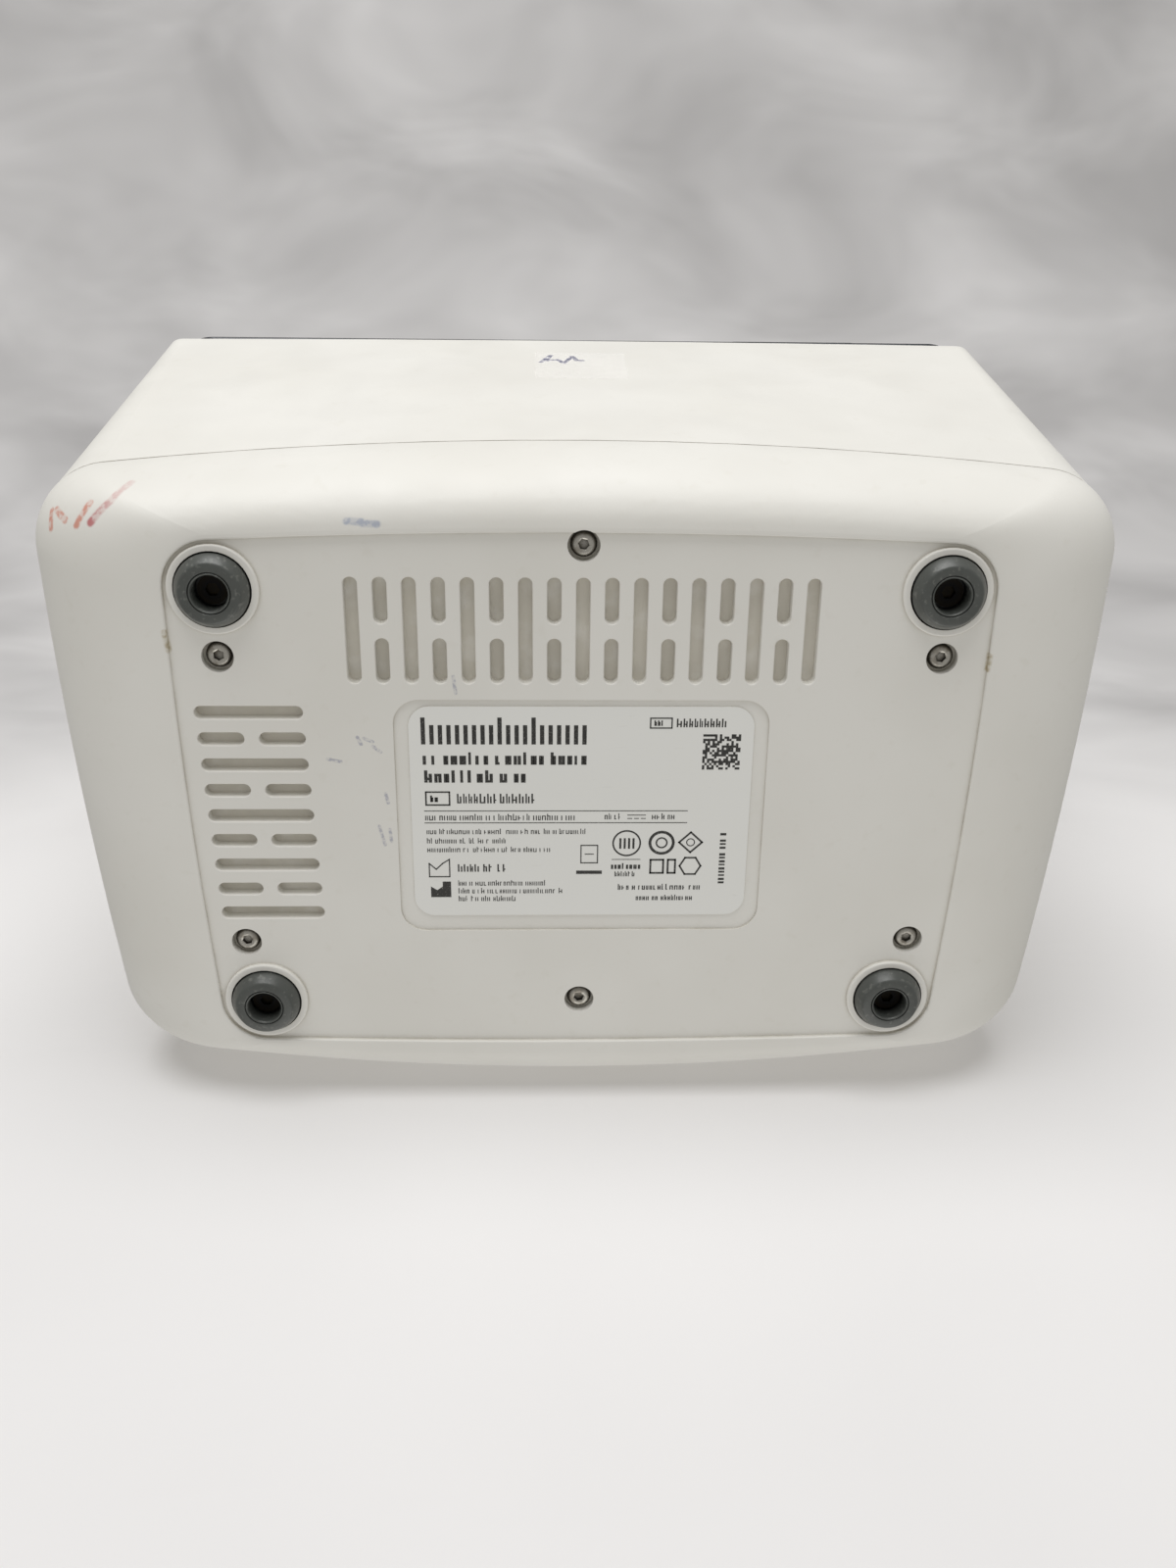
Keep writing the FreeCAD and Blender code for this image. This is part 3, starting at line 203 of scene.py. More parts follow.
# ---- pen marks and stains on the base, in millimetres ---------------------------------------------------
RED_MARKS = [((-107.2, -55.6, 14.2), (-107.2, -52.4, 12.2)), ((-105.9, -56.0, 13.3), (-103.4, -54.6, 10.2)),
             ((-97.7, -58.1, 9.4), (-100.6, -53.9, 8.3))]
LONG_RED_MARK = [((-90.0, -61.7, 12.4), (-93.2, -58.9, 8.1)), ((-93.2, -58.9, 8.1), (-97.4, -54.8, 7.0))]
BLUE_SMUDGE = [((-46.6, -56.2, 3.2), (-43.6, -56.0, 3.2)), ((-43.6, -55.8, 3.2), (-40.6, -55.6, 3.1))]
PALE_MARKS = [((-46.9, -10.6, 4.0), (-46.2, -9.0, 4.0)), ((-45.6, -10.4, 4.0), (-43.8, -9.6, 4.0)),
              ((-43.8, -8.6, 4.0), (-42.2, -7.3, 4.0)), ((-53.4, -5.7, 4.0), (-50.6, -5.1, 4.0)),
              ((-26.6, -24.0, 4.0), (-26.2, -20.4, 4.0)), ((-41.6, 2.2, 4.1), (-41.1, 4.4, 4.1)),
              ((-43.3, 9.8, 4.0), (-42.2, 14.2, 4.0)), ((-41.0, 10.6, 4.1), (-40.8, 13.4, 4.1))]
STAINS = [((-84.4, -33.6, 3.5), (-83.9, -29.6, 3.6)), ((84.1, -29.0, 3.6), (84.0, -26.0, 3.6))]


def white_plastic(name, marked=False):
    """Warm white moulding: clouding, brown dirt and painted shade in its corners, a fine spark-eroded grain
    and finger grease.
    """
    look = Look(name)
    cloud = look.span(look.noise(38.0, 3.0), 0.35, 0.65)
    colour = look.mix(cloud, (0.805, 0.790, 0.748), (0.840, 0.827, 0.790))
    colour = look.mix(look.span(look.noise(3.2, 3.0), 0.62, 0.78, 0.0, 0.10), colour, (0.60, 0.56, 0.46))
    # Partly dirt, partly painted shade: corners and gaps are browned and darkened, in patches.
    dirt_and_painted_shade = look.math("MULTIPLY", look.crevices(1.6), look.span(look.noise(7.0, 3.0), 0.3, 0.7, 0.28, 0.62))
    colour = look.mix(dirt_and_painted_shade, colour, (0.33, 0.29, 0.20))
    if marked:
        stain = look.math("MULTIPLY", look.strokes(STAINS, 0.9, 0.6), 0.75)
        colour = look.mix(stain, colour, (0.36, 0.28, 0.12))
        red = look.strokes(RED_MARKS, 1.05, 0.7)
        colour = look.mix(look.math("MULTIPLY", red, 0.72), colour, (0.62, 0.15, 0.07))
        long_red = look.strokes(LONG_RED_MARK, 1.15, 0.6)
        fading = look.span(look.axis("X"), -97.4, -89.8, 0.85, 0.20)
        colour = look.mix(look.math("MULTIPLY", long_red, fading), colour, (0.50, 0.10, 0.11))
        blue = look.strokes(BLUE_SMUDGE, 1.0, 0.55)
        colour = look.mix(look.math("MULTIPLY", blue, 0.5), colour, (0.14, 0.22, 0.42))
        pale = look.strokes(PALE_MARKS, 0.5, 0.75)
        colour = look.mix(look.math("MULTIPLY", pale, 0.5), colour, (0.18, 0.20, 0.34))
    grease = look.span(look.noise(16.0, 4.0, distortion=0.6), 0.35, 0.65, 0.40, 0.52)
    grain = look.math("ADD", look.noise(0.42, 3.0), look.math("MULTIPLY", look.noise(2.6, 2.0), 0.6))
    return look.finish(colour, grease, grain, 0.012)


def gloss_plastic(name):
    """Near-black gloss moulding with wiping haze and a few specks of dust."""
    look = Look(name, Coat_Weight=0.35, Coat_Roughness=0.06)
    dust = look.span(look.cells(1.7), 0.0, 0.045, 1.0, 0.0)
    dust = look.math("MULTIPLY", dust, look.span(look.noise(11.0), 0.5, 0.7))
    colour = look.mix(look.noise(24.0), (0.010, 0.013, 0.022), (0.014, 0.017, 0.028))
    colour = look.mix(look.math("MULTIPLY", dust, 0.35), colour, (0.35, 0.34, 0.32))
    wiped = look.noise(9.0, 4.0, stretch=(3.0, 1.0, 1.0), distortion=1.2)
    return look.finish(colour, look.span(wiped, 0.35, 0.7, 0.13, 0.27), look.noise(3.0, 2.0), 0.008)


# The glass leans back by LEAN degrees from its lower edge at CHIN_Y, CHIN_Z. The display behind it reaches
# ACTIVE_HALF to each side and from ACTIVE_LOW to ACTIVE_HIGH up the glass, blurred over SOFT_EDGE.
LEAN = 26.0
CHIN_Y, CHIN_Z = -79.2, 124.0
ACTIVE_HALF, ACTIVE_LOW, ACTIVE_HIGH = 76.0, 22.0, 106.0
SOFT_EDGE = 0.3


def cover_glass(name):
    """Black printed glass with the display's dark area showing through, and finger marks."""
    look = Look(name, IOR=1.52, Coat_Weight=0.5, Coat_Roughness=0.02)
    lean = math.radians(LEAN)
    from_edge = look.vector("SUBTRACT", look.place, (0.0, CHIN_Y, CHIN_Z))
    up = look.vector("DOT_PRODUCT", from_edge, (0.0, math.sin(lean), math.cos(lean)), output=1)
    across = look.node("SeparateXYZ")
    look.join(from_edge, across.inputs[0])
    out = look.math("ABSOLUTE", across.outputs[0])
    side = look.span(out, ACTIVE_HALF - SOFT_EDGE, ACTIVE_HALF + SOFT_EDGE, 1.0, 0.0)
    low = look.span(up, ACTIVE_LOW - SOFT_EDGE, ACTIVE_LOW + SOFT_EDGE)
    high = look.span(up, ACTIVE_HIGH - SOFT_EDGE, ACTIVE_HIGH + SOFT_EDGE, 1.0, 0.0)
    active = look.math("MULTIPLY", side, look.math("MULTIPLY", low, high))
    dark = look.mix(look.noise(40.0), (0.005, 0.006, 0.008), (0.008, 0.009, 0.012))
    colour = look.mix(active, dark, (0.016, 0.020, 0.026))
    prints = look.node("TexWave", wave_type="RINGS", rings_direction="SPHERICAL")
    look.join(look.place, prints.inputs["Vector"])
    prints.inputs["Scale"].default_value = 0.35
    prints.inputs["Distortion"].default_value = 9.0
    touched = look.span(look.noise(15.0, 2.0), 0.56, 0.68)
    smear = look.math("MULTIPLY", touched, look.span(prints.outputs["Fac"], 0.3, 0.8, 0.4, 1.0))
    return look.finish(colour, look.span(smear, 0.0, 1.0, 0.045, 0.20))


def moulded(name, colour, roughness=0.5, grain=0.5, depth=0.015, worn=0.10):
    """Coloured moulding with a fine grain, paler where it is rubbed."""
    look = Look(name)
    pale = tuple(min(1.0, c * 1.7 + 0.02) for c in colour)
    dark, light = tuple(c * 0.85 for c in colour), tuple(min(1, c * 1.12) for c in colour)
    rubbed = look.math("MULTIPLY", look.span(look.noise(5.0, 4.0), 0.5, 0.75), worn * 3)
    tone = look.mix(look.noise(14.0, 3.0), dark, light)
    rough = look.span(look.noise(6.0, 3.0), 0.3, 0.7, roughness - 0.07, roughness + 0.07)
    return look.finish(look.mix(rubbed, tone, pale), rough, look.noise(grain, 2.0), depth)


def rubber(name):
    """Grey moulded rubber with bloom, paper dust and painted shade, near black, in its hollows."""
    look = Look(name, Coat_Weight=0.35, Coat_Roughness=0.32)
    tone = look.mix(look.noise(4.5, 3.0), (0.052, 0.058, 0.053), (0.080, 0.086, 0.080))
    dust = look.math("MULTIPLY", look.span(look.noise(1.1, 4.0), 0.58, 0.72), 0.22)
    colour = look.mix(dust, tone, (0.42, 0.42, 0.39))
    crumbs = look.span(look.cells(0.8), 0.0, 0.10, 1.0, 0.0)
    crumbs = look.math("MULTIPLY", crumbs, look.span(look.noise(3.0), 0.55, 0.65))
    colour = look.mix(look.math("MULTIPLY", crumbs, 0.5), colour, (0.60, 0.60, 0.57))
    # Painted shade: the hollows, such as the foot's bore, are darkened to near black.
    colour = look.mix(look.crevices(3.0, 0.35, 0.75), colour, (0.006, 0.006, 0.006))
    rough = look.span(look.noise(2.2, 3.0), 0.3, 0.7, 0.34, 0.50)
    return look.finish(colour, rough, look.noise(0.35, 3.0), 0.02)


def metal(name, colour, roughness, size=0.4, stretch=None, depth=0.006, tarnish=(0.35, 0.30, 0.22),
          dirty=0.35, corner_shade=0.0):
    """Bare or plated metal: grain along stretch, patches of tarnish and, if asked for, painted shade in
    corners.
    """
    look = Look(name, metallic=1.0)
    lines = look.noise(size, 3.0, stretch=stretch)
    tone = look.mix(lines, tuple(c * 0.88 for c in colour), tuple(min(1.0, c * 1.08) for c in colour))
    patch = look.math("MULTIPLY", look.span(look.noise(2.4, 4.0), 0.50, 0.72), dirty)
    colour = look.mix(patch, tone, tarnish)
    rough = look.math("ADD", look.span(lines, 0.3, 0.7, roughness - 0.06, roughness + 0.06),
                      look.math("MULTIPLY", patch, 0.25))
    # Painted shade: corners and gaps darkened to near black.
    if corner_shade:
        painted_corner_shade = look.math("MULTIPLY", look.crevices(3.0, 0.40, 0.80), corner_shade)
        colour = look.mix(painted_corner_shade, colour, (0.030, 0.024, 0.016))
    return look.finish(colour, rough, lines, depth)


def label_film(name):
    """White satin print film with a faint yellowing and light rubbing."""
    look = Look(name, Coat_Weight=0.15, Coat_Roughness=0.25)
    colour = look.mix(look.noise(22.0, 3.0), (0.86, 0.86, 0.835), (0.89, 0.89, 0.87))
    scuffs = look.noise(0.6, 3.0, stretch=(6.0, 1.0, 1.0), distortion=0.4)
    colour = look.mix(look.span(scuffs, 0.66, 0.78, 0.0, 0.16), colour, (0.62, 0.61, 0.57))
    rough = look.span(look.noise(9.0, 3.0), 0.3, 0.7, 0.34, 0.46)
    return look.finish(colour, rough, look.noise(0.8, 2.0), 0.006)


def print_ink(name):
    """Black thermal print, broken by tiny pinholes."""
    look = Look(name)
    worn = look.span(look.noise(0.32, 3.0), 0.60, 0.74, 0.0, 0.55)
    tone = look.mix(look.noise(7.0), (0.018, 0.018, 0.017), (0.034, 0.033, 0.030))
    colour = look.mix(worn, tone, (0.55, 0.54, 0.51))
    return look.finish(colour, look.span(worn, 0.0, 0.5, 0.38, 0.55), look.noise(0.3, 2.0), 0.003)


# The scribble's corners, as x and z, and the line that the front wall follows from its foot at the seam.
SCRIBBLE = [(-8.6, 98.0), (-6.2, 105.4), (-7.4, 99.6), (-4.4, 100.8), (-2.9, 96.8), (-0.6, 104.6),
            (0.4, 100.2), (1.9, 99.9)]
WALL_FOOT_Y, WALL_FOOT_Z, WALL_SLOPE = -68.6, 26.0, 0.111


def on_tape(x, z):
    """A point on the tape's face, which leans with the front wall of the housing."""
    return x, WALL_FOOT_Y - WALL_SLOPE * (z - WALL_FOOT_Z), z


def tape_film(name):
    """Milky, nearly clear adhesive tape with a blue-grey pen scribble and trapped air."""
    look = Look(name, Coat_Weight=0.4, Coat_Roughness=0.12)
    milky = look.mix(look.span(look.noise(4.0, 3.0), 0.35, 0.65), (0.90, 0.90, 0.94), (0.94, 0.935, 0.96))
    lines = [(on_tape(*a), on_tape(*b)) for a, b in zip(SCRIBBLE, SCRIBBLE[1:])]
    scribble = look.strokes(lines, 0.9, 0.6)
    look.join(look.span(scribble, 0.0, 1.0, 0.06, 0.88), look.shader.inputs["Alpha"])
    colour = look.mix(scribble, milky, (0.10, 0.10, 0.22))
    rough = look.span(look.noise(3.0, 3.0), 0.3, 0.7, 0.20, 0.36)
    return look.finish(colour, rough, look.noise(2.5, 2.0, stretch=(1.0, 1.0, 2.5)), 0.01)


def circuit_board(name):
    """Green solder mask over copper tracks, with tinned vias."""
    look = Look(name, Coat_Weight=0.4, Coat_Roughness=0.15)
    tracks = look.node("TexBrick", offset=0.37, squash=1.6, squash_frequency=3)
    look.join(look.place, tracks.inputs["Vector"])
    tracks.inputs["Scale"].default_value = 0.32
    tracks.inputs["Mortar Size"].default_value = 0.03
    colour = look.mix(tracks.outputs["Fac"], (0.010, 0.085, 0.040), (0.030, 0.170, 0.070))
    vias = look.span(look.cells(4.2, spread=0.8), 0.05, 0.09, 1.0, 0.0)
    colour = look.mix(vias, colour, (0.60, 0.58, 0.52))
    rough = look.span(look.noise(8.0), 0.3, 0.7, 0.28, 0.40)
    return look.finish(colour, rough, tracks.outputs["Fac"], 0.02)


def ribbon_film(name):
    """Flexible cable: amber film with parallel copper conductors."""
    look = Look(name, Coat_Weight=0.3, Coat_Roughness=0.2)
    lines = look.node("TexWave", bands_direction="X")
    look.join(look.place, lines.inputs["Vector"])
    lines.inputs["Scale"].default_value = 0.55
    copper = look.span(lines.outputs["Fac"], 0.45, 0.55)
    colour = look.mix(copper, (0.55, 0.26, 0.05), (0.74, 0.38, 0.10))
    colour = look.mix(look.span(look.noise(5.0), 0.3, 0.7, 0.0, 0.2), colour, (0.45, 0.20, 0.05))
    return look.finish(colour, look.span(look.noise(3.0), 0.3, 0.7, 0.3, 0.42), copper, 0.03)


def lens_glass(name):
    """Coated lens: clear glass with a faint purple bloom and dust."""
    look = Look(name, IOR=1.6, Transmission_Weight=0.9, Coat_Weight=0.4, Coat_Roughness=0.02)
    bloom = look.mix(look.noise(9.0), (0.80, 0.84, 0.92), (0.90, 0.86, 0.95))
    return look.finish(bloom, look.span(look.noise(1.2, 4.0), 0.55, 0.75, 0.015, 0.10))


def make_looks():
    """Every finish by name. A CAD material slot is dressed by the finish of the same name."""
    return {
        "warm_white_plastic": white_plastic("warm_white_plastic"),
        "marked_white_plastic": white_plastic("marked_white_plastic", marked=True),
        "dark_gloss_plastic": gloss_plastic("dark_gloss_plastic"),
        "cover_glass": cover_glass("cover_glass"),
        "display": moulded("display", (0.05, 0.055, 0.06), 0.35, 0.8),
        "pale_baffle": moulded("pale_baffle", (0.72, 0.69, 0.62), 0.6, 0.7, 0.03),
        "black_plastic": moulded("black_plastic", (0.020, 0.020, 0.022), 0.42, 0.45, 0.02),
        "red_wire": moulded("red_wire", (0.42, 0.02, 0.018), 0.35, 0.6, 0.008),
        "switch_white": moulded("switch_white", (0.80, 0.80, 0.78), 0.45, 0.4, 0.006),
        "grey_rubber": rubber("grey_rubber"),
        "zinc_sheet": metal("zinc_sheet", (0.56, 0.57, 0.60), 0.34, 0.5, (14.0, 1.0, 1.0)),
        "cast_aluminium": metal("cast_aluminium", (0.62, 0.62, 0.63), 0.48, 0.5, depth=0.03),
        "black_anodised": metal("black_anodised", (0.035, 0.036, 0.040), 0.42, 0.35, depth=0.008,
                                tarnish=(0.06, 0.06, 0.06), dirty=0.2),
        # black_oxide and steel_screw get painted shade in their corners.
        "black_oxide": metal("black_oxide", (0.012, 0.012, 0.013), 0.55, 0.35, depth=0.008,
                             tarnish=(0.02, 0.02, 0.02), dirty=0.2, corner_shade=0.9),
        "bright_steel": metal("bright_steel", (0.66, 0.66, 0.67), 0.20, 0.3, (1.0, 1.0, 12.0)),
        "steel_screw": metal("steel_screw", (0.50, 0.48, 0.44), 0.30, 0.35, depth=0.010,
                             tarnish=(0.16, 0.13, 0.09), dirty=0.75, corner_shade=0.9),
        "brass_nut": metal("brass_nut", (0.70, 0.50, 0.22), 0.28, 0.4, (1.0, 1.0, 8.0),
                           tarnish=(0.38, 0.22, 0.08)),
        "label_film": label_film("label_film"),
        "print_ink": print_ink("print_ink"),
        "tape_film": tape_film("tape_film"),
        "circuit_board": circuit_board("circuit_board"),
        "orange_film": ribbon_film("orange_film"),
        "optic_glass": lens_glass("optic_glass"),
    }


LOOKS = make_looks()


def dress_cad_nodes():
    """Gives each CAD node the finish of its material slot, or one of its own."""
    own = {"bottom_casing": "marked_white_plastic", "foot_screws": "black_oxide"}
    for part in frame["record"]["subparts"]:
        node = NODES[part["node"]]
        material = LOOKS[own.get(part["node"], part["material_slot"])]
        for place in node.material_slots:
            place.material = material


# ---- mesh kit -------------------------------------------------------------------------------------------
def piece(name, vertices, faces, look, body, replaces=(), sharp=35.0):
    """A mesh in the row frame from points in millimetres, riding on a body."""
    mesh = bpy.data.meshes.new(name)
    mesh.from_pydata([Vector(v) * MM for v in vertices], [], faces)
    mesh.polygons.foreach_set("use_smooth", [True] * len(mesh.polygons))
    mesh.set_sharp_from_angle(angle=math.radians(sharp))
    mesh.validate()
    mesh.materials.append(LOOKS[look])
    made = bpy.data.objects.new(name, mesh)
    bpy.context.scene.collection.objects.link(made)
    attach(made, body)
    if replaces:
        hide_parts(*replaces)
    return made


def rounded_edges(made, width, segments, angle):
    """Rounds the edges sharper than an angle in degrees, by a width in millimetres."""
    bevel = made.modifiers.new("rounded_edges", "BEVEL")
    bevel.width, bevel.segments = width * MM, segments
    bevel.limit_method, bevel.angle_limit = "ANGLE", math.radians(angle)
    bevel.harden_normals = True


def middle_of(node):
    """Centre of a CAD node's box, in millimetres."""
    low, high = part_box(node)
    return (low + high) / 2 / MM


class Solid:
    """Collects points and faces of one piece, in millimetres."""

    def __init__(self):
        self.points, self.faces = [], []

    def rings(self, rings, closed=False):
        """Joins rings of equally many points. An open stack is closed by a cap at each end."""
        start, count = len(self.points), len(rings[0])
        for ring in rings:
            self.points += ring
        stack = len(rings) if closed else len(rings) - 1
        for i in range(stack):
            a, b = start + i * count, start + (i + 1) % len(rings) * count
            self.faces += [(a + k, a + (k + 1) % count, b + (k + 1) % count, b + k) for k in range(count)]
        if not closed:
            last = start + (len(rings) - 1) * count
            self.faces.append(tuple(start + k for k in reversed(range(count))))
            self.faces.append(tuple(last + k for k in range(count)))

    def prism(self, outline, z0, z1):
        """Upright prism over a flat outline that goes round anticlockwise, with z0 below z1."""
        self.rings([[(x, y, z0) for x, y in outline], [(x, y, z1) for x, y in outline]])


def circle_ring(x, y, z, radius, count, shape=None):
    """A ring of points, round or with the radius that shape(angle) gives."""
    ring = []
    for k in range(count):
        angle = 2 * math.pi * k / count
        r = radius if shape is None else shape(angle)
        ring.append((x + r * math.cos(angle), y + r * math.sin(angle), z))
    return ring


def hexagonal(across):
    """Radius of a hexagon at an angle."""
    def shape(angle):
        return across / 2 / math.cos((angle + math.pi / 6) % (math.pi / 3) - math.pi / 6)
    return shape


# ---- feet and base screws -------------------------------------------------------------------------------
# Radius and height round the foot's section: its bore and top, its side and bevel, its sole with a fine
# groove, and the counterbore for its screw.
FOOT_PROFILE = [(1.7, 5.0), (1.7, 6.6), (7.5, 6.6), (7.5, 2.5), (7.36, 2.1), (6.42, 0.42), (6.2, 0.14),
                (5.9, 0.0), (4.4, 0.0), (4.3, 0.1), (4.25, 0.3), (4.15, 0.3), (4.1, 0.1), (4.0, 0.0),
                (3.9, 0.02), (3.72, 0.2), (3.6, 0.6), (3.6, 5.0)]


def rubber_foot(node):
    """A moulded foot, turned from its section, with slightly rounded edges."""
    x, y, _ = middle_of(node)
    foot = Solid()
    foot.rings([circle_ring(x, y, z, r, 96) for r, z in FOOT_PROFILE], closed=True)
    made = piece("rubber_" + node, foot.points, foot.faces, "grey_rubber", "base",
                 [node], 50.0)
    rounded_edges(made, 0.08, 2, 40.0)


SCREW_REACH = 8.0


def screw_places():
    """Centres of the base screws. Points within SCREW_REACH of a screw's first point are that screw's."""
    places = []
    for vertex in NODES["base_screws"].data.vertices:
        point = Vector((vertex.co.x, vertex.co.y)) / MM
        near = next((p for p in places if (p[0] - point).length < SCREW_REACH), None)
        if near is None:
            near = [point.copy(), point.copy(), point.copy()]
            places.append(near)
        near[1] = Vector(map(min, near[1], point))
        near[2] = Vector(map(max, near[2], point))
    return [(low + high) / 2 for _, low, high in places]


HEAD_TALL, SOCKET_ACROSS, DOME_STEPS = 1.4, 2.0, 8


def base_screw_set():
    """Button-head screws: a domed head with a chamfered hexagon socket, over a threaded shank."""
    low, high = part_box("base_screws")
    top, end = low.z / MM, high.z / MM
    seat, count = top + HEAD_TALL, 72
    screws = Solid()
    for i, place in enumerate(screw_places()):
        x, y = place
        turn = 0.35 * i

        def socket(angle):
            return hexagonal(SOCKET_ACROSS)(angle + turn)
        rings = [circle_ring(x, y, top + 0.95, 0, count, lambda a: 0.35 * socket(a)),
                 circle_ring(x, y, top + 0.88, 0, count, socket),
                 circle_ring(x, y, top + 0.16, 0, count, socket),
                 circle_ring(x, y, top + 0.02, 1.26, count), circle_ring(x, y, top, 1.42, count)]
        for k in range(1, DOME_STEPS + 1):
            angle = math.radians(90 * k / DOME_STEPS)
            height, radius = seat - 0.3 - 1.1 * math.cos(angle), 1.6 + 1.12 * math.sin(angle)
            rings.append(circle_ring(x, y, height, radius, count))
        rings += [circle_ring(x, y, seat - 0.06, 2.74, count), circle_ring(x, y, seat, 2.66, count),
                  circle_ring(x, y, seat, 1.38, count)]
        rings += thread_rings(x, y, seat + 0.4, end - 0.6, 1.38, 1.14, 0.5, count, 8)
        rings += [circle_ring(x, y, end - 0.3, 1.1, count), circle_ring(x, y, end, 0.8, count)]
        screws.rings(rings)
    piece("hex_socket_screws", screws.points, screws.faces, "steel_screw", "base",
          ["base_screws"])


def thread_rings(x, y, z0, z1, major, minor, pitch, count, steps):
    """Rings of a helical thread, steps to a pitch, which runs out over a sixth of its length at each end."""
    total = int((z1 - z0) / pitch * steps)
    rings = []
    for i in range(total + 1):
        z = z0 + (z1 - z0) * i / total
        ends = min(1.0, 6 * i / total, 6 * (total - i) / total)

        def radius(angle):
            phase = (z / pitch - angle / (2 * math.pi)) % 1.0
            return major - (major - minor) * ends * (0.5 + 0.5 * math.cos(2 * math.pi * phase))
        rings.append(circle_ring(x, y, z, 0, count, radius))
    return rings


# ---- the label's print ----------------------------------------------------------------------------------
class Print:
    """Flat print on the label, laid out from its top left corner, in millimetres, as seen from below."""
    THICK = 0.03

    def __init__(self):
        low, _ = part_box("rating_label")
        self.left, self.top = low.x / MM, low.y / MM
        self.z = low.z / MM
        self.solid = Solid()

    def outline(self, points):
        """A filled shape."""
        placed = [(self.left + u, self.top + v) for u, v in points]
        area = sum(a[0] * b[1] - b[0] * a[1] for a, b in zip(placed, placed[1:] + placed[:1]))
        if area < 0:
            placed.reverse()
        self.solid.prism(placed, self.z - self.THICK, self.z + self.THICK)

    def bar(self, u0, u1, v0, v1):
        """A filled rectangle."""
        self.outline([(u0, v0), (u1, v0), (u1, v1), (u0, v1)])

    def line(self, a, b, width):
        """A straight line with square ends that pass its points by half its width."""
        along = (Vector(b) - Vector(a)).normalized() * (width / 2)
        side = Vector((-along.y, along.x))
        a, b = Vector(a) - along, Vector(b) + along
        self.outline([tuple(a + side), tuple(b + side), tuple(b - side), tuple(a - side)])

    def loop(self, points, width):
        """A closed line through points."""
        for a, b in zip(points, points[1:] + points[:1]):
            self.line(a, b, width)

    def box(self, u0, u1, v0, v1, width):
        """An outlined rectangle."""
        self.loop([(u0, v0), (u1, v0), (u1, v1), (u0, v1)], width)

    def ring(self, u, v, radius, width, count=40):
        """A round line about a centre."""
        inner, outer = [], []
        for k in range(count):
            angle = 2 * math.pi * k / count
            direction = Vector((math.cos(angle), math.sin(angle)))
            inner.append(Vector((u, v)) + direction * (radius - width / 2))
            outer.append(Vector((u, v)) + direction * (radius + width / 2))
        for k in range(count):
            n = (k + 1) % count
            self.outline([tuple(inner[k]), tuple(inner[n]), tuple(outer[n]), tuple(outer[k])])

    def greeked(self, u0, u1, v0, v1, words, dice, bold=0.5, tall=0.25):
        """A line of dashes in word-long groups, with no letters in it."""
        height = v1 - v0
        letter = height * 0.62
        u = u0
        for word in words:
            for _ in range(word):
                if u + letter * 0.6 > u1:
                    return
                rise = 0.0 if dice.random() < tall else height * 0.28
                wide = letter * dice.uniform(0.55, 0.95)
                stem = min(wide * 0.45, height * 0.2) * (0.7 + bold * 0.6)
                self.bar(u, u + stem, v0 + rise, v1)
                if dice.random() < 0.75:
                    self.bar(u + wide - stem, u + wide, v0 + height * 0.28, v1)
                level = dice.choice((v0 + height * 0.28, v0 + height * 0.6, v1 - stem * 0.8))
                if dice.random() < 0.6:
                    self.bar(u + stem, u + wide - stem, level, level + stem * 0.8)
                u += wide + letter * 0.28
            u += letter * 0.55


def label_heading(ink, dice):
    """A row of upright bars, two bold lines, and a boxed one with thinner dashes beside it."""
    for k in range(20):
        rise = 0.0 if k in (0, 9, 13) else 1.7
        ink.bar(2.6 + 1.78 * k, 3.5 + 1.78 * k, 2.4 + rise, 8.4)
    ink.greeked(2.8, 37.6, 10.2, 13.0, (2, 6, 6, 10), dice, bold=0.9)
    ink.greeked(3.0, 25.6, 14.3, 17.1, (8, 1, 2), dice, bold=0.9)
    ink.box(3.2, 8.2, 19.3, 22.3, 0.34)
    ink.greeked(4.1, 7.5, 20.1, 21.6, (2,), dice, bold=1.2)
    ink.greeked(9.8, 28.0, 19.7, 21.9, (13,), dice, bold=0.2, tall=1.0)


def label_text(ink, dice):
    """Fine print between two rules and below them."""
    for v in (23.7, 26.5):
        ink.line((2.8, v), (59.2, v), 0.16)
    ink.greeked(2.9, 36.0, 24.4, 25.9, (7, 5, 1, 8, 9), dice, bold=0.1)
    ink.greeked(41.4, 45.4, 24.3, 25.7, (2, 2), dice, bold=0.1)
    ink.line((46.4, 24.7), (50.2, 24.7), 0.16)
    for k in range(3):
        ink.line((46.4 + 1.45 * k, 25.5), (47.3 + 1.45 * k, 25.5), 0.16)
    ink.greeked(51.6, 56.8, 24.3, 25.7, (3, 2), dice, bold=0.1)
    for v, end, words in ((27.9, 38.6, (3, 8, 3, 5, 3, 2, 3, 2, 10, 10)), (30.1, 20.2, (8, 2, 2, 3, 7, 1)),
                          (32.2, 30.2, (9, 2, 6, 3, 3, 4, 5))):
        ink.greeked(3.1, end, v, v + 1.25, words, dice, bold=0.1)


def label_corner(ink, dice):
    """Two made-up outlines in the lower left corner, with dashes beside them."""
    ink.loop([(3.4, 36.2), (4.9, 37.6), (6.3, 36.2), (7.8, 35.2), (7.8, 39.4), (3.4, 39.4)], 0.26)
    ink.greeked(9.6, 20.6, 36.4, 38.2, (4, 2, 2), dice, bold=0.35, tall=1.0)
    ink.outline([(3.6, 44.4), (3.6, 41.8), (5.0, 42.7), (6.2, 41.8), (6.2, 40.6), (8.0, 40.6), (8.0, 44.4)])
    for v, end, words in ((40.3, 29.2, (4, 12, 8, 3, 3)), (42.2, 33.0, (3, 1, 2, 8, 10, 6, 4, 1)),
                          (44.1, 23.0, (3, 2, 9, 6))):
        ink.greeked(9.6, end, v, v + 1.3, words, dice, bold=0.1)


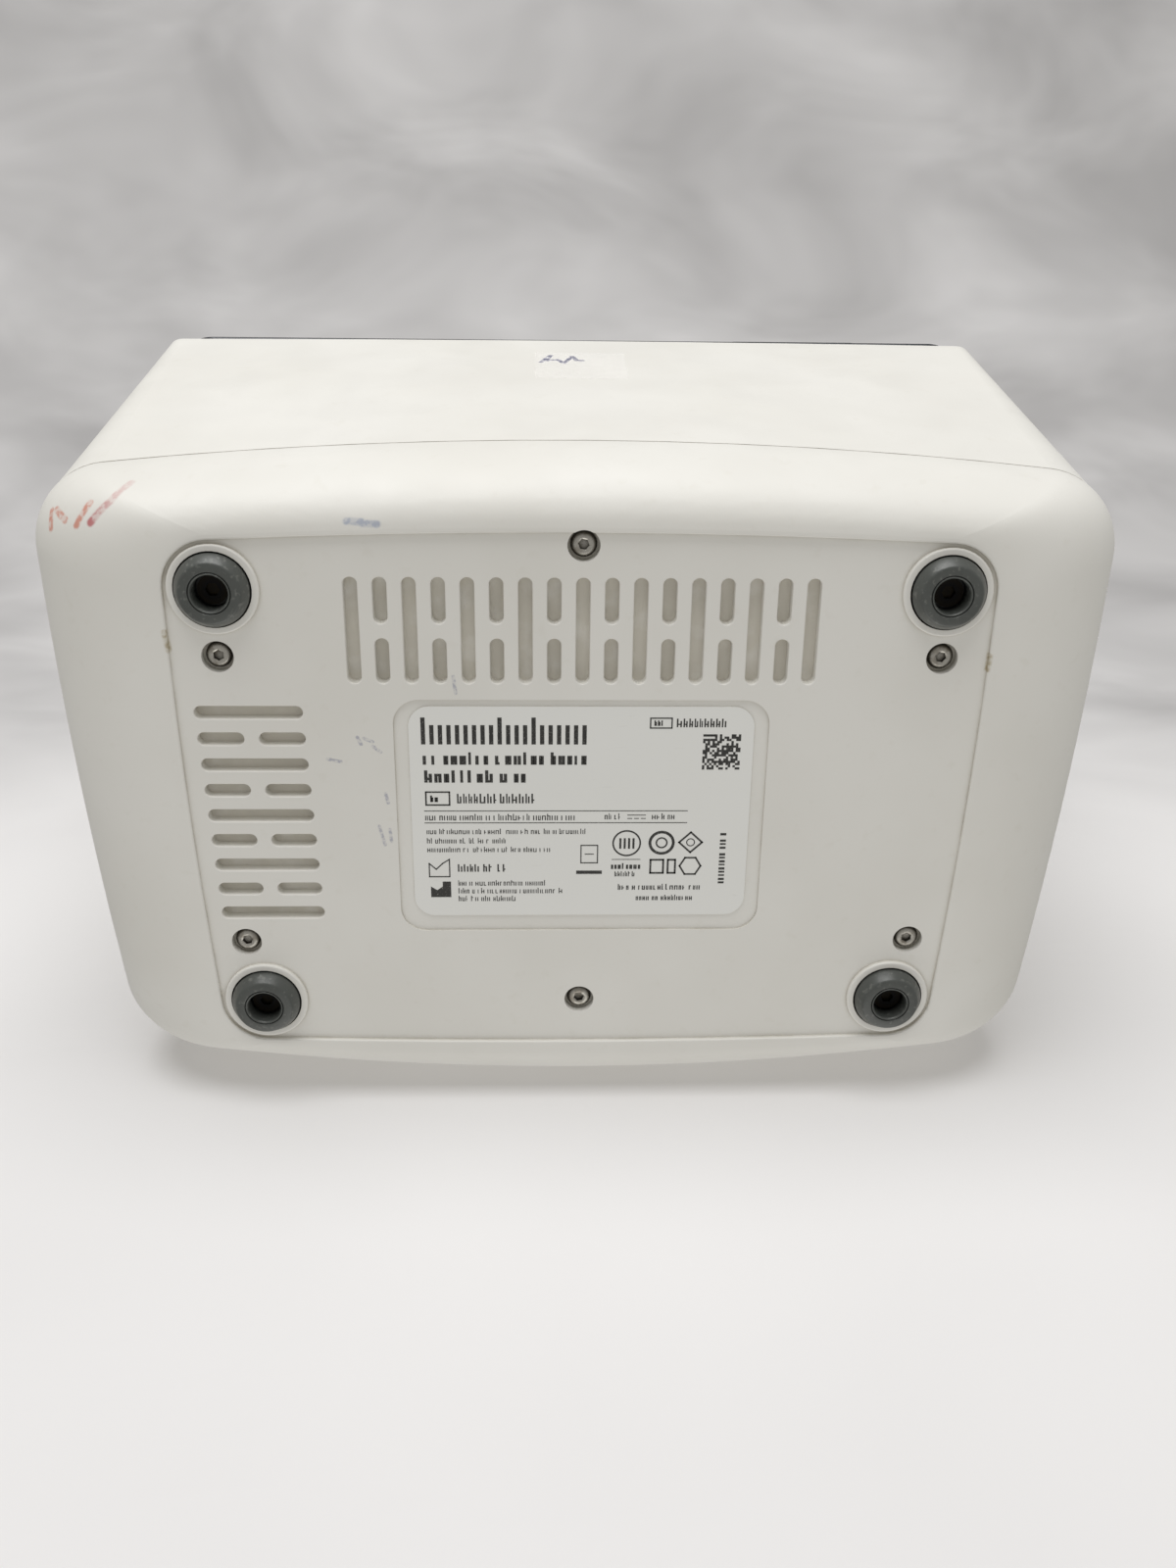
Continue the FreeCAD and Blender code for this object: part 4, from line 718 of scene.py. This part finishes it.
def label_symbols(ink, dice):
    """Boxes, rings, a diamond and a hexagon in the middle and on the right."""
    ink.box(36.4, 40.0, 31.9, 36.1, 0.24)
    ink.line((37.3, 34.0), (39.1, 34.0), 0.2)
    ink.bar(35.4, 41.0, 38.0, 38.8)
    ink.ring(46.3, 31.4, 2.95, 0.36)
    for k in range(4):
        ink.bar(44.7 + 0.95 * k, 45.15 + 0.95 * k, 30.2, 32.7)
    ink.ring(53.9, 31.3, 2.55, 0.62)
    ink.ring(53.9, 31.3, 1.15, 0.34)
    ink.loop([(60.2, 28.8), (62.7, 31.2), (60.2, 33.6), (57.7, 31.2)], 0.40)
    ink.ring(60.2, 31.2, 0.85, 0.22)
    ink.line((43.2, 35.3), (49.3, 35.3), 0.14)
    ink.greeked(43.0, 49.4, 36.2, 37.6, (8,), dice, bold=0.8)
    ink.greeked(43.8, 48.6, 38.2, 39.4, (7,), dice, bold=0.3, tall=1.0)
    ink.box(51.6, 54.4, 35.4, 38.6, 0.42)
    ink.box(55.4, 57.0, 35.4, 38.6, 0.42)
    turns = [k * math.pi / 3 for k in range(6)]
    ink.loop([(60.3 + 2.3 * math.cos(turn), 36.9 + 2.3 * math.sin(turn)) for turn in turns], 0.38)


def label_right(ink, dice):
    """Dashes below the symbols and in the upper right corner."""
    ink.greeked(44.6, 62.8, 41.3, 42.7, (3, 1, 12, 3), dice, bold=0.35)
    ink.greeked(48.6, 62.8, 44.0, 45.3, (4, 2, 9), dice, bold=0.35)
    ink.box(50.7, 55.2, 2.5, 4.7, 0.28)
    ink.greeked(51.5, 54.8, 3.0, 4.2, (3,), dice, bold=0.9, tall=1.0)
    ink.greeked(56.2, 70.0, 2.6, 4.5, (9,), dice, bold=0.25, tall=1.0)


def label_square(ink, dice):
    """A square of cells filled by chance."""
    cell, left, top, count, filled = 0.5, 61.9, 6.1, 16, 0.56
    for row in range(count):
        for column in range(count):
            if dice.random() < filled:
                u, v = left + column * cell, top + row * cell
                ink.bar(u, left + (column + 1) * cell, v, top + (row + 1) * cell)


def label_side(ink, dice):
    """Short dashes down the right side."""
    v = 29.0
    for word in (1, 3, 9):
        for _ in range(word):
            ink.bar(66.6, 67.9, v, v + dice.uniform(0.3, 0.55))
            v += 0.86
        v += 0.7


def label_print():
    """Greeked label: made-up dashes, boxes, rings and a random square where a real one has its text."""
    dice = random.Random(11)
    ink = Print()
    for section in (label_heading, label_text, label_corner, label_symbols, label_right, label_square,
                    label_side):
        section(ink, dice)
    piece("label_print", ink.solid.points, ink.solid.faces, "print_ink", "base")


# ---- tape, rocker marks, lead screw and spring ----------------------------------------------------------
def surface_of(node):
    """A CAD node's faces, for dropping points on them."""
    return BVHTree.FromObject(NODES[node], bpy.context.evaluated_depsgraph_get())


def film_on(tree, columns, rows, origin, across, down, ray, thick, lift):
    """Closed thin sheet: a grid of points dropped on a surface along ray, then raised by lift(u, v)."""
    outer, inner = [], []
    for j in range(rows + 1):
        for i in range(columns + 1):
            u, v = i / columns, j / rows
            start = origin + across * u + down * v
            place, normal, _, _ = tree.ray_cast(start * MM, ray)
            place = place / MM
            raised = lift(u, v)
            inner.append(tuple(place + normal * raised))
            outer.append(tuple(place + normal * (raised + thick)))
    solid = Solid()
    solid.points = outer + inner
    wide, under = columns + 1, len(outer)
    for j in range(rows):
        for i in range(columns):
            a = j * wide + i
            quad = (a, a + 1, a + wide + 1, a + wide)
            solid.faces.append(quad)
            solid.faces.append(tuple(under + k for k in reversed(quad)))
    rim = list(range(columns)) + [columns + j * wide for j in range(rows)]
    rim += [rows * wide + i for i in range(columns, 0, -1)] + [j * wide for j in range(rows, 0, -1)]
    for a, b in zip(rim, rim[1:] + rim[:1]):
        solid.faces.append((b, a, under + a, under + b))
    return solid


TAPE_MARGIN = 0.3


def tape():
    """Hand-stuck tape: air wrinkles and two lifted corners. Its margin keeps it inside the CAD tape."""
    low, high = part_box("tape_sticker")
    low, high = low / MM, high / MM

    def lift(u, v):
        ripple = noise.noise(Vector((u * 3.0, v * 7.0, 0.4)))
        ripple += 0.5 * noise.noise(Vector((u * 9.0, v * 16.0, 2.0)))
        corner = max(0.0, 1 - 5 * math.hypot(1 - u, v)) + max(0.0, 1 - 5 * math.hypot(u, 1 - v))
        return 0.03 + 0.03 * max(0.0, ripple) + 0.22 * corner
    start = Vector((low.x + TAPE_MARGIN, -110.0, high.z - TAPE_MARGIN))
    across = Vector((high.x - low.x - 2 * TAPE_MARGIN, 0, 0))
    down = Vector((0, 0, low.z - high.z + 2 * TAPE_MARGIN))
    film = film_on(surface_of("main_housing"), 70, 84, start, across, down, Vector((0, 1, 0)), 0.06, lift)
    made = piece("wrinkled_tape", film.points, film.faces, "tape_film", "base",
                 ["tape_sticker"], 60.0)
    made.visible_shadow = False


def rocker_marks():
    """The plain I and O of a power switch, as thin inlays on the rocker's face."""
    tree = surface_of("power_rocker")
    centre = middle_of("power_rocker")
    marks = Solid()

    def patch(x0, x1, z0, z1):
        across, down = Vector((x0 - x1, 0, 0)), Vector((0, 0, z0 - z1))
        film = film_on(tree, 2, 6, Vector((x1, 110.0, z1)), across, down, Vector((0, -1, 0)), 0.05,
                       lambda u, v: -0.02)
        first = len(marks.points)
        marks.points.extend(film.points)
        marks.faces.extend(tuple(first + k for k in face) for face in film.faces)
    patch(centre.x - 0.32, centre.x + 0.32, centre.z + 2.6, centre.z + 6.0)
    dots = 28
    for k in range(dots):
        angle = 2 * math.pi * k / dots
        x, z = centre.x + 1.45 * math.cos(angle), centre.z - 4.2 + 1.45 * math.sin(angle)
        patch(x - 0.22, x + 0.22, z - 0.22, z + 0.22)
    piece("rocker_marks", marks.points, marks.faces, "switch_white", "rocker")


def lead_screw():
    """Coarse thread over the CAD screw's length, with its plain shaft end and thrust collar."""
    x, y, _ = middle_of("focus_screw")
    low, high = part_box("focus_screw")
    z0, z1 = low.z / MM, high.z / MM
    collar, count = z0 + 15.3, 48
    rings = [circle_ring(x, y, z0, 1.7, count), circle_ring(x, y, z0 + 0.3, 2.0, count),
             circle_ring(x, y, collar, 2.0, count), circle_ring(x, y, collar, 3.6, count),
             circle_ring(x, y, collar + 3.0, 3.6, count), circle_ring(x, y, collar + 3.0, 2.0, count)]
    rings += thread_rings(x, y, collar + 4.0, z1 - 3.6, 2.0, 1.62, 2.0, count, 16)
    rings += [circle_ring(x, y, z1 - 0.3, 2.0, count), circle_ring(x, y, z1, 1.7, count)]
    screw = Solid()
    screw.rings(rings)
    piece("threaded_lead_screw", screw.points, screw.faces, "bright_steel", "drive_screw",
          ["focus_screw"])


def anti_backlash_spring():
    """Coil spring with closed ends."""
    centre = middle_of("focus_spring")
    low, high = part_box("focus_spring")
    wire, radius, turns, steps = 0.45, 3.4, 8.5, 40
    z0, z1 = low.z / MM + wire, high.z / MM - wire
    rings = []
    total = int((turns + 2) * steps)
    for i in range(total + 1):
        turned = i / steps
        share = min(1.0, max(0.0, (turned - 1) / turns))
        pitch_lift = 2 * wire * (min(turned, 1.0) + max(0.0, turned - 1 - turns))
        z = z0 + pitch_lift + (z1 - z0 - 4 * wire) * share
        angle = 2 * math.pi * turned
        outward = Vector((math.cos(angle), math.sin(angle), 0))
        middle = Vector((centre.x, centre.y, z)) + outward * radius
        rings.append([tuple(middle + outward * wire * math.cos(t) + Vector((0, 0, wire * math.sin(t))))
                      for t in (2 * math.pi * k / 12 for k in range(12))])
    coil = Solid()
    coil.rings(rings)
    spring = piece("coil_spring", coil.points, coil.faces, "bright_steel", "base",
                   ["focus_spring"], 60.0)
    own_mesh(spring)


# ---- stage, lights and camera ---------------------------------------------------------------------------
def stage_material(name, colour, shaded):
    """Pale creased cloth with painted shade towards the back and in its folds. It is clear from behind, so
    that views see through it.
    """
    look = Look(name)
    folds = look.noise(85.0, 3.0, stretch=(1.5, 1.0, 0.9), distortion=0.5)
    # Painted shade: the cloth darkens with height, more in its folds, and a little in broad patches.
    back = look.span(look.axis("Z"), 90.0, 330.0, smooth=True)
    shade = look.math("MULTIPLY", back, look.span(folds, 0.30, 0.70, 0.45, 1.0))
    tone = look.mix(shade, colour, shaded)
    tone = look.mix(look.span(look.noise(160.0, 2.0), 0.3, 0.7, 0.0, 0.12), tone, shaded)
    material = look.finish(tone, look.span(look.noise(30.0), 0.3, 0.7, 0.85, 0.95), folds, 4.0)
    clear = look.node("BsdfTransparent")
    chosen = look.node("MixShader")
    look.join(look.node("NewGeometry").outputs["Backfacing"], chosen.inputs[0])
    look.join(look.shader.outputs[0], chosen.inputs[1])
    look.join(clear.outputs[0], chosen.inputs[2])
    output = next(n for n in look.tree.nodes if n.bl_idname == "ShaderNodeOutputMaterial")
    look.join(chosen.outputs[0], output.inputs[0])
    return material


def stage_sheet(name, profile, half_width, material):
    """A sheet from (y, z) points, drawn across x. It takes shadows, but casts none and isn't reflected."""
    points = [(x, y, z) for y, z in profile for x in (-half_width, half_width)]
    faces = [(2 * i, 2 * i + 1, 2 * i + 3, 2 * i + 2) for i in range(len(profile) - 1)]
    mesh = bpy.data.meshes.new(name)
    mesh.from_pydata(points, [], faces)
    mesh.polygons.foreach_set("use_smooth", [True] * len(mesh.polygons))
    mesh.materials.append(material)
    made = bpy.data.objects.new(name, mesh)
    bpy.context.scene.collection.objects.link(made)
    for ray in ("diffuse", "glossy", "transmission", "shadow", "volume_scatter"):
        setattr(made, "visible_" + ray, False)


# Metres and degrees: how far the sheets reach, the gap under the counter's back, and the cloth's bend.
SHEET_REACH, TABLE_GAP = 1.3, 0.0002
BEND_Z, BEND_R, BEND_TURN, BEND_STEPS, PAST_BEND = 0.32, 0.30, 80, 24, 1.2


def build_stage():
    """A cloth under the counter's back, bent up beyond its top, and a floor at its base.

    Each is seen from one side only: the cloth from in front of the counter, and the floor from above it.
    """
    cloth = stage_material("stage_cloth", (0.86, 0.85, 0.858), (0.44, 0.432, 0.436))
    table_y = cad_high.y + TABLE_GAP
    profile = [(table_y, -SHEET_REACH), (table_y, BEND_Z)]
    for k in range(1, BEND_STEPS + 1):
        angle = math.radians(BEND_TURN * k / BEND_STEPS)
        profile.append((table_y - BEND_R * (1 - math.cos(angle)), BEND_Z + BEND_R * math.sin(angle)))
    end_y, end_z = profile[-1]
    rise = math.radians(BEND_TURN)
    profile.append((end_y - math.sin(rise) * PAST_BEND, end_z + math.cos(rise) * PAST_BEND))
    stage_sheet("backdrop", profile, SHEET_REACH, cloth)
    stage_sheet("floor", [(-SHEET_REACH, 0.0), (SHEET_REACH, 0.0)], SHEET_REACH, cloth)


def lamp(name, at, aim, size, power, colour):
    """A round area light at a place in metres, turned to its aim."""
    data = bpy.data.lights.new(name, "AREA")
    data.shape, data.size, data.energy, data.color = "DISK", size, power, colour
    made = bpy.data.objects.new(name, data)
    made.location = at
    made.rotation_mode = "QUATERNION"
    made.rotation_quaternion = (Vector(aim) - Vector(at)).to_track_quat("-Z", "Y")
    bpy.context.scene.collection.objects.link(made)


def build_light():
    """A large key on the camera's side, two weaker lamps and an even room."""
    middle = (cad_low + cad_high) / 2
    lamp("key", (-0.12, -1.25, -0.08), middle, 1.1, 11.8, (1.0, 1.0, 0.995))
    lamp("bounce", (0.05, 0.75, -0.35), middle, 0.9, 1.9, (1.0, 0.985, 0.95))
    lamp("over", (0.25, 0.30, 1.20), middle, 0.9, 4.0, (0.97, 0.985, 1.0))
    world = bpy.data.worlds.new("soft_room")
    world.use_nodes = True
    background = world.node_tree.nodes["Background"]
    background.inputs["Color"].default_value = (0.955, 0.94, 0.90, 1.0)
    background.inputs["Strength"].default_value = 0.46
    bpy.context.scene.world = world


# The camera's place in millimetres, the way it looks, its upward direction and its lens.
CAMERA_AT = Vector((-8.06, -115.53, -269.74)) * MM
CAMERA_FORWARD = Vector((0.0318912, 0.3886160, 0.9208477))
CAMERA_UP = Vector((0.0003059, -0.9213201, 0.3888048))
CAMERA_LENS = 32.06


def build_camera():
    """The camera, with no shift and no depth of field."""
    data = bpy.data.cameras.new("camera")
    data.lens, data.sensor_width, data.sensor_fit = CAMERA_LENS, 36.0, "AUTO"
    data.clip_start, data.clip_end = 0.01, 20.0
    camera = bpy.data.objects.new("camera", data)
    right = CAMERA_FORWARD.cross(CAMERA_UP).normalized()
    turned = Matrix((right, CAMERA_UP, -CAMERA_FORWARD)).transposed()
    camera.matrix_world = Matrix.Translation(CAMERA_AT) @ turned.to_4x4()
    bpy.context.scene.collection.objects.link(camera)
    bpy.context.scene.camera = camera


# ---- all of it ------------------------------------------------------------------------------------------
dress_cad_nodes()
for foot_node in ("foot_front_left", "foot_front_right", "foot_rear_left", "foot_rear_right"):
    rubber_foot(foot_node)
base_screw_set()
label_print()
tape()
rocker_marks()
lead_screw()
anti_backlash_spring()
build_stage()
build_light()
build_camera()
bpy.context.scene.view_settings.view_transform = "Standard"
